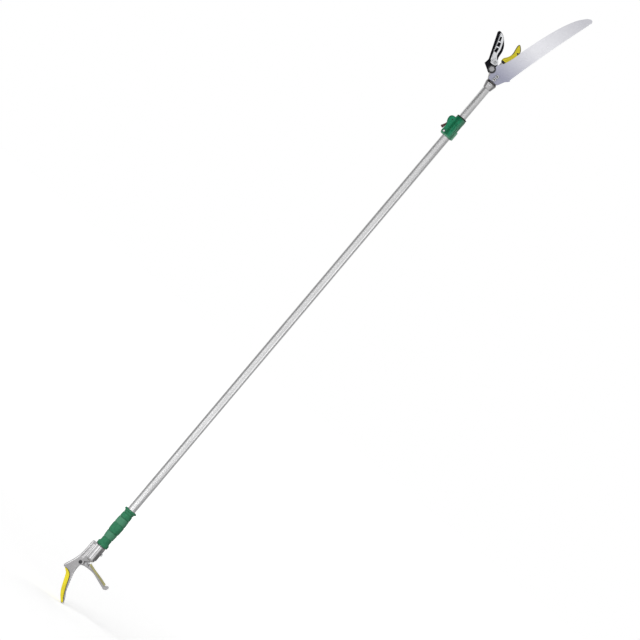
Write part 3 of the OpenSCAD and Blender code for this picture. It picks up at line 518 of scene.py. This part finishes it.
def dress(*nodes):
    """Gives solids the finish of their slots."""
    for node in nodes:
        mesh = NODES[node].data
        mesh.materials.clear()
        mesh.materials.append(finish(SLOT_OF[node]))


def soften(shape, detail, rounds):
    """Rounds the edges of a shape as a casting or a moulding has them."""
    shape.modifiers.new("Joined edges", "WELD").merge_threshold = 0.01 * MM
    skin = shape.modifiers.new("Cast skin", "REMESH")
    skin.mode = "VOXEL"
    skin.voxel_size = detail
    skin.use_smooth_shade = True
    eased = shape.modifiers.new("Eased edges", "SMOOTH")
    eased.factor = 0.5
    eased.iterations = rounds


def cast(node, detail, rounds):
    """Rounds the edges of a solid and gives it its finish."""
    soften(NODES[node], detail, rounds)
    dress(node)


def make_piece(name, bm, node, sharp_deg=32.0):
    """Turns mesh data into a piece that stands for a solid and moves with its body."""
    bmesh.ops.recalc_face_normals(bm, faces=bm.faces)
    mesh = bpy.data.meshes.new(name)
    bm.to_mesh(mesh)
    bm.free()
    mesh.shade_smooth()
    mesh.set_sharp_from_angle(angle=math.radians(sharp_deg))
    piece = bpy.data.objects.new(name, mesh)
    bpy.context.scene.collection.objects.link(piece)
    mesh.materials.append(finish(SLOT_OF[node]))
    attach(piece, BODY_OF[node])
    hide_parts(node)
    return piece


def solid_copy(node):
    """The shape of a solid as clean mesh data with flat faces joined up."""
    bm = bmesh.new()
    bm.from_mesh(NODES[node].data)
    bmesh.ops.remove_doubles(bm, verts=bm.verts, dist=0.005 * MM)
    bmesh.ops.dissolve_limit(bm, angle_limit=math.radians(0.5), verts=bm.verts, edges=bm.edges)
    bm.faces.layers.float.new("ground")
    return bm


def rim_edges(bm, y, keep):
    """Edges of the flat face at a depth y that border the sides, where keep says yes to their middle."""
    near = 0.02 * MM
    sharp = math.radians(40)
    found = []
    for edge in bm.edges:
        a, b = (v.co for v in edge.verts)
        flat = abs(a.y - y) < near and abs(b.y - y) < near
        if flat and edge.is_manifold and edge.calc_face_angle() > sharp and keep((a + b) / 2):
            found.append(edge)
    return found


def bevel(bm, edges, width, segments=1, ground=0.0):
    """Bevels chosen edges to a width, and marks the new faces as ground to a share."""
    made = bmesh.ops.bevel(
        bm, geom=edges, offset=width, offset_type="OFFSET", segments=segments, profile=0.5, affect="EDGES",
        clamp_overlap=False)
    mark = bm.faces.layers.float["ground"]
    for face in made["faces"]:
        face[mark] = ground
    bm.normal_update()


def ring_reach(reach, corners, angle):
    """Distance from the axis to an outline, round or with corners; reach is to the middle of a side."""
    if not corners:
        return reach
    step = math.tau / corners[0]
    return reach / math.cos((angle + step / 2) % step - step / 2)


def turned(bm, rings, base, axis, closed=False, sides=48):
    """A shape turned about an axis through base. A ring is its reach and height in millimetres, and its
    number of corners where it isn't round."""
    turn = Vector(axis).to_track_quat("Z", "Y").to_matrix()
    loops = []
    for reach, height, *corners in rings:
        if reach == 0:
            loops.append([bm.verts.new(base + turn @ (UP * height * MM))])
            continue
        loop = []
        for i in range(sides):
            angle = math.tau * i / sides
            out = ring_reach(reach, corners, angle) * MM
            spot = Vector((out * math.cos(angle), out * math.sin(angle), height * MM))
            loop.append(bm.verts.new(base + turn @ spot))
        loops.append(loop)
    if closed:
        loops.append(loops[0])
    for low, high in zip(loops, loops[1:]):
        for i in range(sides):
            j = (i + 1) % sides
            if len(low) == 1:
                bm.faces.new((low[0], high[i], high[j]))
            elif len(high) == 1:
                bm.faces.new((low[i], low[j], high[0]))
            else:
                bm.faces.new((low[i], low[j], high[j], high[i]))


def coil(bm, base, axis, mean, wire, rise, turns, steps=30, sides=12):
    """A round wire wound about an axis, from the middle of its first turn to the middle of its last."""
    turn = Vector(axis).to_track_quat("Z", "Y").to_matrix()
    count = turns * steps
    loops = []
    for i in range(count + 1):
        angle = math.tau * i / steps
        out = Vector((math.cos(angle), math.sin(angle), 0))
        middle = out * mean + UP * (wire / 2 + rise * i / count)
        loop = []
        for k in range(sides):
            side = math.tau * k / sides
            loop.append(bm.verts.new(
                base + turn @ (middle + wire / 2 * (out * math.cos(side) + UP * math.sin(side)))))
        loops.append(loop)
    for low, high in zip(loops, loops[1:]):
        for k in range(sides):
            j = (k + 1) % sides
            bm.faces.new((low[k], low[j], high[j], high[k]))
    bm.faces.new(loops[0])
    bm.faces.new(reversed(loops[-1]))


def curve_through(points, steps):
    """A smooth curve through points, with a number of steps from each to the next."""
    made = []
    last = len(points) - 1
    for i in range(last):
        a, b, c, d = (Vector(points[max(0, min(last, k))]) for k in range(i - 1, i + 3))
        for k in range(steps):
            t = k / steps
            squared = (2 * a - 5 * b + 4 * c - d) * t ** 2
            cubed = (3 * b - a - 3 * c + d) * t ** 3
            made.append((2 * b + (c - a) * t + squared + cubed) / 2)
    made.append(Vector(points[last]))
    return made


class PRUNER_OT_tubes(bpy.types.Operator):
    """Finish the two drawn tubes and the foot inside them"""

    bl_idname = "pruner.tubes"
    bl_label = "Tubes"

    def execute(self, context):
        dress("outer_tube", "inner_tube", "tube_foot")
        return {"FINISHED"}


class PRUNER_OT_grip(bpy.types.Operator):
    """Mould the grip, with its rings and its bands of fine ribs"""

    bl_idname = "pruner.grip"
    bl_label = "Grip"

    def execute(self, context):
        sizes = context.scene.pruner_sizes
        ring_depth = sizes.grip_ring_depth / MM
        rib_depth = sizes.grip_rib_depth / MM
        bore = 12.55
        foot = [(bore, -63.5), (15.6, -63.5), (16.6, -63.1), (17.3, -62.3), (17.5, -61.4), (17.5, -54.6)]
        side = [
            (17.3, -53.6), (16.5, -52.5), (14.7, -50.0), (14.1, -45.5), (15.3, -31.5), (16.9, -10.5),
            (17.5, 4.5), (16.8, 26.5), (15.4, 46.5), (14.7, 54.0), (15.9, 57.0), (17.6, 58.3)]
        top = [(18.6, 59.0), (18.99, 59.8), (18.99, 61.6), (18.6, 62.7), (17.5, 63.5), (bore, 63.5)]
        rings = [edge for band in GRIP_BANDS for edge in band] + [GRIP_TOP_RING]
        profile = []
        for reach, height in curve_through(side, steps=24):
            level = height * MM
            for ring in rings:
                reach -= ring_depth * math.exp(-((level - ring) / sizes.grip_ring_width) ** 2)
            for low, high in GRIP_BANDS:
                if low < level < high:
                    reach -= rib_depth * math.sin(math.pi * (level - low) / sizes.grip_rib_pitch) ** 2
            profile.append((reach, height))
        bm = bmesh.new()
        turned(bm, foot + profile + top, Vector(), UP, closed=True, sides=96)
        make_piece("hand_grip_moulded", bm, "hand_grip", sharp_deg=50)
        return {"FINISHED"}


class PRUNER_OT_handle(bpy.types.Operator):
    """Round the cast handle and the cover of its fixed arm"""

    bl_idname = "pruner.handle"
    bl_label = "Handle"

    def execute(self, context):
        sizes = context.scene.pruner_sizes
        bm = solid_copy("handle_body")
        # The clip of the trigger pin sits on the flat of the handle
        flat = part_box("pin_clip")[0].y
        for level in (-flat, flat):
            bevel(bm, rim_edges(bm, level, self.is_handle_outline), sizes.handle_ease, segments=3)
            bevel(bm, rim_edges(bm, level, self.is_arm_edge), sizes.arm_ease, segments=3)
        body = make_piece("handle_body_cast", bm, "handle_body")
        soften(body, sizes.cast_detail, sizes.handle_rounds)
        bm = solid_copy("handle_cover")
        bm.normal_update()
        for level in (corner.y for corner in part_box("handle_cover")):
            rim = rim_edges(bm, level, lambda spot: spot.x > COVER_END and spot.z > ARM_TOE)
            bevel(bm, [edge for edge in rim if self.is_seam(edge)], sizes.cover_slope, segments=3)
        cover = make_piece("handle_cover_moulded", bm, "handle_cover")
        soften(cover, sizes.moulded_detail, sizes.cover_rounds)
        return {"FINISHED"}

    @staticmethod
    def is_seam(edge):
        """An edge of the cover along its seam with the arm, where its side looks up and to the pole."""
        return max(face.normal.x + face.normal.z for face in edge.link_faces) > SEAM_LEAN

    @staticmethod
    def is_handle_outline(spot):
        """The back of the handle and the arch below the pivot, down to where the arm grows thin."""
        return spot.z > ARM_TOP and (spot.x < HANDLE_EDGE or spot.z < BOSS_FOOT)

    @staticmethod
    def is_arm_edge(spot):
        """Both edges of the thin part of the fixed arm."""
        return ARM_TOE < spot.z < ARM_TOP


class PRUNER_OT_trigger(bpy.types.Operator):
    """Round the cast trigger and its cover"""

    bl_idname = "pruner.trigger"
    bl_label = "Trigger"

    def execute(self, context):
        sizes = context.scene.pruner_sizes
        cast("trigger_lever", sizes.moulded_detail, sizes.cast_rounds)
        cast("trigger_cover", sizes.moulded_detail, sizes.cast_rounds)
        dress("rod_pin")
        return {"FINISHED"}


class PRUNER_OT_lock(bpy.types.Operator):
    """Round the housing and the lever of the tube lock"""

    bl_idname = "pruner.lock"
    bl_label = "Tube lock"

    def execute(self, context):
        sizes = context.scene.pruner_sizes
        cast("lock_housing", sizes.moulded_detail, sizes.cast_rounds)
        cast("lock_lever", sizes.moulded_detail, sizes.cast_rounds)
        dress("wiper_ring", "brake_shoe")
        return {"FINISHED"}


class PRUNER_OT_rods(bpy.types.Operator):
    """Finish the pull rod, its clevis, its eye and the clutch"""

    bl_idname = "pruner.rods"
    bl_label = "Pull rod"

    def execute(self, context):
        dress(
            "rod_bush", "rod_clevis", "spring_collar", "lower_rod", "clutch_body", "clutch_plates",
            "clutch_cap", "upper_rod", "rod_eye", "tail_pin", "blade_bush")
        return {"FINISHED"}


class PRUNER_OT_springs(bpy.types.Operator):
    """Wind the return spring, the clutch spring and the lever spring"""

    bl_idname = "pruner.springs"
    bl_label = "Springs"

    def execute(self, context):
        foot = Vector((0, 0, BUSH_TOP))
        spring = self.wind("return_spring", foot, UP, mean=0.00725, wire=0.0018, reach=0.040, turns=7)
        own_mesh(spring)
        low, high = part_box("clutch_spring")
        foot = Vector((0, 0, low.z))
        wire = 0.001
        self.wind("clutch_spring", foot, UP, high.x - wire / 2, wire, high.z - low.z, turns=4)
        low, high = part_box("lever_spring")
        foot = Vector((LEVER_PIN.x, low.y, LEVER_PIN.z))
        wire = 0.0008
        self.wind("lever_spring", foot, BACK, (high.z - low.z - wire) / 2, wire, high.y - low.y, turns=3)
        return {"FINISHED"}

    @staticmethod
    def wind(node, foot, axis, mean, wire, reach, turns):
        """A wound wire that stands for a spring: its mean radius, its wire, its whole reach and its turns."""
        bm = bmesh.new()
        coil(bm, foot, axis, mean, wire, reach - wire, turns)
        return make_piece(node + "_wound", bm, node)


class PRUNER_OT_head(bpy.types.Operator):
    """Round the cast head bracket"""

    bl_idname = "pruner.head"
    bl_label = "Head bracket"

    def execute(self, context):
        sizes = context.scene.pruner_sizes
        cast("head_bracket", sizes.cast_detail, sizes.cast_rounds)
        dress("pivot_spacers")
        return {"FINISHED"}


class PRUNER_OT_blades(bpy.types.Operator):
    """Grind the cutting blade and the hook, and ease the hold plate"""

    bl_idname = "pruner.blades"
    bl_label = "Blades"

    def execute(self, context):
        sizes = context.scene.pruner_sizes
        bm = solid_copy("cutting_blade")
        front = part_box("cutting_blade")[0].y
        bevel(bm, rim_edges(bm, front, self.is_cutting_edge), sizes.blade_grind, ground=0.5)
        dull = rim_edges(bm, front, lambda spot: not self.is_cutting_edge(spot))
        bevel(bm, dull, sizes.plate_ease, ground=0.8)
        make_piece("cutting_blade_ground", bm, "cutting_blade", sharp_deg=25)
        bm = solid_copy("counter_blade")
        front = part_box("counter_blade")[0].y
        bevel(bm, rim_edges(bm, front, self.is_hook_outline), sizes.hook_bevel, ground=0.85)
        bmesh.ops.bisect_plane(
            bm, geom=[*bm.verts, *bm.edges, *bm.faces], plane_co=UP * HOOK_FOOT, plane_no=UP, dist=0.001 * MM)
        self.mark_hook(bm)
        make_piece("hook_ground", bm, "counter_blade", sharp_deg=25)
        bm = solid_copy("hold_plate")
        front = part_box("hold_plate")[0].y
        bevel(bm, rim_edges(bm, front, self.is_plate_back), sizes.plate_round, segments=5)
        bevel(bm, rim_edges(bm, front, lambda spot: True), 2 * sizes.plate_ease, segments=2)
        make_piece("hold_plate_pressed", bm, "hold_plate")
        return {"FINISHED"}

    @staticmethod
    def mark_hook(bm):
        """Marks where the hook is darkened: all of its foot, and its left edge more above the waist."""
        foot, above_waist, below_waist = 1.0, 0.95, 0.3
        mark = bm.faces.layers.float["ground"]
        for face in bm.faces:
            spot = face.calc_center_median()
            if spot.z < HOOK_FOOT:
                face[mark] = foot
            elif face[mark] and face.normal.x < 0:
                face[mark] = above_waist if spot.z > HOOK_WAIST else below_waist

    @staticmethod
    def is_hook_outline(spot):
        """The outer edge of the hook, away from its rivet holes."""
        return all(math.hypot(spot.x - rivet.x, spot.z - rivet.z) > RIVET_ROOM for rivet in HOOK_RIVETS)

    @staticmethod
    def is_plate_back(spot):
        """The straight back of the hold plate, away from the hook."""
        near = 0.8 * MM
        return abs(spot.x - PLATE_FOOT.x - PLATE_LEAN * (spot.z - PLATE_FOOT.z)) < near

    @staticmethod
    def is_cutting_edge(spot):
        """The side of the cutting blade that faces the hook, above its pivot."""
        return spot.z > EDGE_FOOT.z and spot.x > EDGE_FOOT.x + EDGE_LEAN * (spot.z - EDGE_FOOT.z)


class PRUNER_OT_saw(bpy.types.Operator):
    """Set the teeth of the saw to one side and the other"""

    bl_idname = "pruner.saw"
    bl_label = "Saw"

    def execute(self, context):
        sizes = context.scene.pruner_sizes
        bm = solid_copy("saw_blade")
        bm.normal_update()
        for face in (FRONT, BACK):
            flat = max(bm.faces, key=lambda f: f.normal.dot(face) * f.calc_area())
            tips = [loop.vert for loop in flat.loops if loop.is_convex and loop.calc_angle() < TOOTH_ANGLE]
            tips.sort(key=lambda vert: vert.co.z)
            for index, tip in enumerate(tips):
                self.part_tooth(tip, face)
                tip.co.y += sizes.saw_set if index % 2 else -sizes.saw_set
        make_piece("saw_blade_ground", bm, "saw_blade", sharp_deg=12)
        return {"FINISHED"}

    @staticmethod
    def part_tooth(tip, face):
        """Cuts the facet of a tooth from the flat of the saw, which stays flat when the tip is bent."""
        flat = max(tip.link_faces, key=lambda f: f.normal.dot(face) * f.calc_area())
        corner = next(loop for loop in flat.loops if loop.vert == tip)
        bmesh.utils.face_split(flat, corner.link_loop_prev.vert, corner.link_loop_next.vert)


class PRUNER_OT_fasteners(bpy.types.Operator):
    """Turn the screws, bolts, nuts, rivets, pins and washers"""

    bl_idname = "pruner.fasteners"
    bl_label = "Fasteners"

    def execute(self, context):
        # Each piece starts so many millimetres along its axis from its spot, and its rings follow from there
        deep = context.scene.pruner_sizes.socket_depth / MM
        rings = self.socket_head(shank=2.5, under=5.5, head=4.75, height=3.0, flats=2.7, depth=deep)
        self.turn("saw_screws", SAW_SCREWS, [FRONT], 4.9, rings)
        rings = self.socket_head(shank=2.0, under=3.68, head=4.0, height=2.0, flats=1.5, depth=0.8 * deep)
        self.turn("head_screws", [HEAD_SCREWS], [FRONT, BACK], 11.05, rings)
        rings = self.socket_head(shank=2.5, under=3.0, head=4.0, height=3.6, flats=2.0, depth=deep)
        self.turn("socket_screw", [SOCKET_SCREW], [RIGHT], 12.55, rings)
        self.turn("hold_screw", [HOLD_SCREW], [FRONT], -1.5, [
            (0, 0), (2.6, 0), (3.0, 0.4), (3.0, 5.9), (8.6, 5.9), (9.0, 6.2), (9.0, 6.7), (8.4, 7.3),
            (5.0, 7.3), (5.0, 8.7), (4.6, 9.1), (3.4, 9.1, 6), (3.4, 7.0, 6), (0, 6.8)])
        self.turn("pivot_bolt", [BLADE_PIVOT], [FRONT], -17.2, [
            (0, 0), (3.5, 0), (4.0, 0.5), (4.0, 27.7), (7.0, 27.7, 6), (7.0, 31.9, 6), (6.7, 33.2),
            (5.2, 33.2), (4.9, 32.9), (0, 32.9)])
        self.turn("pivot_nut", [BLADE_PIVOT], [BACK], 9.7, [
            (4.05, 0), (6.7, 0), (7.0, 0.6, 6), (7.0, 5.7, 6), (6.7, 6.5), (4.05, 6.5)], closed=True)
        self.turn("pivot_washer", [BLADE_PIVOT], [FRONT], 9.0, [
            (4.05, 0), (11.0, 0), (11.0, 1.1), (10.5, 1.5), (4.05, 1.5)], closed=True)
        self.turn("clamp_screw", [CLAMP_SCREW], [FRONT], -13.9, [
            (0, 0), (1.7, 0), (2.0, 0.3), (2.0, 23.6), (3.0, 23.6), (3.0, 24.5), (2.7, 25.2), (2.0, 25.65),
            (1.0, 25.8), (0, 25.8)])
        self.turn("clamp_nut", [CLAMP_SCREW], [BACK], 9.7, [
            (2.05, 0), (3.4, 0), (3.5, 0.3, 6), (3.5, 2.8, 6), (3.3, 3.2), (2.05, 3.2)], closed=True)
        self.turn("lever_pin", [LEVER_PIN], [FRONT], -9.7, [
            (0, 0), (1.2, 0), (1.5, 0.3), (1.5, 19.1), (1.2, 19.4), (0, 19.4)])
        self.turn("trigger_pin", [TRIGGER_PIVOT], [FRONT], -13.0, [
            (0, 0), (2.5, 0), (3.0, 0.5), (3.0, 24.0), (5.0, 24.0), (5.0, 25.0), (4.4, 25.7), (2.6, 26.0),
            (0, 26.0)])
        self.turn("pin_clip", [TRIGGER_PIVOT], [BACK], 11.0, [
            (3.05, 0), (4.3, 0), (4.5, 0.2), (4.5, 0.8), (4.3, 1.0), (3.05, 1.0)], closed=True)
        self.turn("counter_rivets", HOOK_RIVETS, [BACK], 1.6, [
            (0, 0), (1.9, 0.05), (2.5, 0.4), (2.5, 8.3), (1.9, 8.65), (0, 8.7)])
        return {"FINISHED"}

    @staticmethod
    def turn(node, spots, axes, start, rings, closed=False):
        """Turns a piece that stands for a node, at each spot along each axis, from a start in millimetres."""
        bm = bmesh.new()
        for spot in spots:
            for axis in axes:
                turned(bm, rings, spot + axis * (start * MM), axis, closed)
        make_piece(node + "_turned", bm, node)

    @staticmethod
    def socket_head(shank, under, head, height, flats, depth):
        """Rings of a screw with a round head and a six-sided socket in it."""
        top = under + height
        return [
            (0, 0), (shank - 0.3, 0), (shank, 0.3), (shank, under), (head - 0.2, under), (head, under + 0.2),
            (head, top - 0.7), (head - 0.3, top - 0.25), (head - 0.9, top), (flats, top, 6),
            (flats, top - depth, 6), (0, top - depth - 0.3)]


class PRUNER_OT_stage(bpy.types.Operator):
    """Set up the floor, the light and the camera"""

    bl_idname = "pruner.stage"
    bl_label = "Stage"

    def execute(self, context):
        scene = context.scene
        scene.view_settings.view_transform = "Standard"
        self.floor(scene)
        self.world(scene)
        # Lamps: a place, a width and height, and a power in watts
        self.lamp(scene, "key_light", (-4.85, -8.8, 4.4), (5.0, 5.0), 620.0, mirrored=False)
        self.lamp(scene, "back_light", (0.8, 4.2, 3.4), (2.6, 2.6), 60.0, mirrored=False)
        self.lamp(scene, "soft_box", (-4.05, -9.2, 4.2), (6.8, 8.0), 232.0, mirrored=False)
        self.lamp(scene, "fill_light", (4.2, -2.6, 0.8), (1.6, 1.5), 9.0)
        # Cards: two directions in degrees from the front, two heights and a brightness
        floor, socket, handle, grip, grip_end = CAD_BOX[0].z, -0.205, -0.12, -0.03, 0.15
        lock, head, tube, top = 1.29, 1.545, 1.66, CAD_BOX[1].z + 0.5
        self.card(scene, "handle_edge_card", (-165, -85), (floor, handle), 0.08)
        self.card(scene, "handle_side_strip", (-78, -38), (socket, grip), 1.4)
        self.card(scene, "handle_strip", (-36, -9), (socket, grip), 3.6)
        self.card(scene, "handle_low_strip", (9, 26), (socket, grip), 3.2)
        self.card(scene, "handle_card", (48, 150), (floor, handle), 0.25)
        self.card(scene, "left_card", (-125, -65), (grip, head), 0.42)
        self.card(scene, "tube_strip", (-22, -10), (grip, head), 1.2)
        self.card(scene, "right_foot_card", (36, 72), (handle, grip_end), 0.5)
        self.card(scene, "right_end_card", (36, 72), (lock, head), 0.5)
        self.card(scene, "right_card", (72, 128), (handle, tube), 0.48)
        self.card(scene, "left_head_card", (-92, -22), (head, top), 0.22)
        self.card(scene, "inner_tube_card", (-22, 72), (head, tube), 0.74)
        self.camera(scene)
        return {"FINISHED"}

    @staticmethod
    def seen(tree):
        """1 where the camera, a reflection or glass looks at the stage, and 0 where it only lights."""
        path = place(tree, "ShaderNodeLightPath").outputs
        mirrored = maths(tree, "ADD", path["Is Camera Ray"], path["Is Glossy Ray"])
        return maths(tree, "ADD", mirrored, path["Is Transmission Ray"], use_clamp=True)

    def floor(self, scene):
        """A wide pale floor under the tool, which shows its shadow."""
        half = 40.0
        gap = 0.5 * MM
        bm = bmesh.new()
        level = Matrix.Translation((0, 0, CAD_BOX[0].z - gap))
        bmesh.ops.create_grid(bm, x_segments=2, y_segments=2, size=half, matrix=level)
        mesh = bpy.data.meshes.new("floor")
        bm.to_mesh(mesh)
        bm.free()
        material, tree = new_material("pale_floor")
        spot = surface_spot(tree)
        mottle = noise(tree, spot, often=3.0, detail=3.0)
        paper = mixed(tree, mottle, scaled(WHITE, 0.80), scaled(WHITE, 0.84))
        diffuse = place(tree, "ShaderNodeBsdfDiffuse", {"Color": paper})
        away = place(tree, "ShaderNodeVectorMath", {0: spot}, operation="LENGTH").outputs["Value"]
        strength = times(tree, self.seen(tree), spread(tree, away, span=(1.5, 7.0), to=(0.50, 0.86)))
        glow = place(tree, "ShaderNodeEmission", {"Color": scaled(WHITE), "Strength": strength})
        both = place(tree, "ShaderNodeAddShader", {0: diffuse.outputs[0], 1: glow.outputs[0]})
        place(tree, "ShaderNodeOutputMaterial", {"Surface": both.outputs[0]})
        mesh.materials.append(material)
        floor = bpy.data.objects.new("floor", mesh)
        scene.collection.objects.link(floor)

    def world(self, scene):
        """A white room, which lights the tool more softly than it looks."""
        world = bpy.data.worlds.new("white_room")
        world.use_nodes = True
        tree = world.node_tree
        tree.nodes.clear()
        strength = spread(tree, self.seen(tree), to=(0.22, 1.0))
        sky = place(tree, "ShaderNodeBackground", {"Color": scaled(WHITE), "Strength": strength})
        place(tree, "ShaderNodeOutputWorld", {"Surface": sky.outputs[0]})
        scene.world = world

    @staticmethod
    def lamp(scene, name, spot, size, power, mirrored=True):
        """A soft light that looks at the middle of the tool, and shows in its reflections or not."""
        light = bpy.data.lights.new(name, "AREA")
        light.shape = "RECTANGLE"
        light.size, light.size_y = size
        light.energy = power
        lamp = bpy.data.objects.new(name, light)
        lamp.location = spot
        aim = TOOL_MIDDLE - Vector(spot)
        lamp.rotation_mode = "QUATERNION"
        lamp.rotation_quaternion = aim.to_track_quat("-Z", "Y")
        lamp.visible_camera = False
        lamp.visible_glossy = mirrored
        scene.collection.objects.link(lamp)

    @staticmethod
    def card(scene, name, turns, heights, level):
        """A standing grey or bright card, seen only in the reflections of the tool, between two directions in
        degrees from the front."""
        reach = 0.95
        left, right = (Matrix.Rotation(math.radians(turn), 3, "Z") @ FRONT * reach for turn in turns)
        low, high = (UP * height for height in heights)
        mesh = bpy.data.meshes.new(name)
        mesh.from_pydata([left + low, right + low, right + high, left + high], [], [(0, 1, 2, 3)])
        material, tree = new_material(name)
        glow = place(tree, "ShaderNodeEmission", {"Color": scaled(WHITE), "Strength": level})
        place(tree, "ShaderNodeOutputMaterial", {"Surface": glow.outputs[0]})
        mesh.materials.append(material)
        card = bpy.data.objects.new(name, mesh)
        card.visible_camera = False
        card.visible_diffuse = False
        card.visible_shadow = False
        card.visible_transmission = False
        scene.collection.objects.link(card)

    @staticmethod
    def camera(scene):
        """A long lens square to the side of the tool, rolled so that the pole runs corner to corner."""
        target = Vector((0.0591, 0, 0.7986))
        right = Vector((0.76469, 0, 0.64440))
        above = Vector((-0.64440, 0, 0.76469))
        data = bpy.data.cameras.new("photo_camera")
        data.lens = 200.0
        data.sensor_width = 36.0
        data.clip_end = 200.0
        view_width = 1.760
        distance = view_width * data.lens / data.sensor_width
        camera = bpy.data.objects.new("photo_camera", data)
        turn = Matrix((right, above, FRONT)).transposed().to_4x4()
        camera.matrix_world = Matrix.Translation(target + FRONT * distance) @ turn
        scene.collection.objects.link(camera)
        scene.camera = camera


OPERATORS = [
    PRUNER_OT_tubes, PRUNER_OT_grip, PRUNER_OT_handle, PRUNER_OT_trigger, PRUNER_OT_lock, PRUNER_OT_rods,
    PRUNER_OT_springs, PRUNER_OT_head, PRUNER_OT_blades, PRUNER_OT_saw, PRUNER_OT_fasteners, PRUNER_OT_stage]


class PRUNER_PT_parts(bpy.types.Panel):
    """Lists the pieces of the pruner and what a user may change"""

    bl_label = "Tree Pruner Pole"
    bl_space_type = "VIEW_3D"
    bl_region_type = "UI"
    bl_category = "Pruner"

    def draw(self, context):
        layout = self.layout
        for operator in OPERATORS:
            layout.operator(operator.bl_idname)
        for group in (context.scene.pruner_sizes, context.scene.pruner_colours):
            box = layout.box()
            for name in group.__annotations__:
                box.prop(group, name)


CLASSES = [PrunerSizes, PrunerColours, *OPERATORS, PRUNER_PT_parts]


def register():
    for cls in CLASSES:
        bpy.utils.register_class(cls)
    bpy.types.Scene.pruner_sizes = PointerProperty(type=PrunerSizes)
    bpy.types.Scene.pruner_colours = PointerProperty(type=PrunerColours)


def unregister():
    del bpy.types.Scene.pruner_colours
    del bpy.types.Scene.pruner_sizes
    for cls in reversed(CLASSES):
        bpy.utils.unregister_class(cls)


def main():
    """Registers the add-on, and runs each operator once."""
    register()
    for operator in OPERATORS:
        family, name = operator.bl_idname.split(".")
        getattr(getattr(bpy.ops, family), name)()


if __name__ == "__main__":
    main()
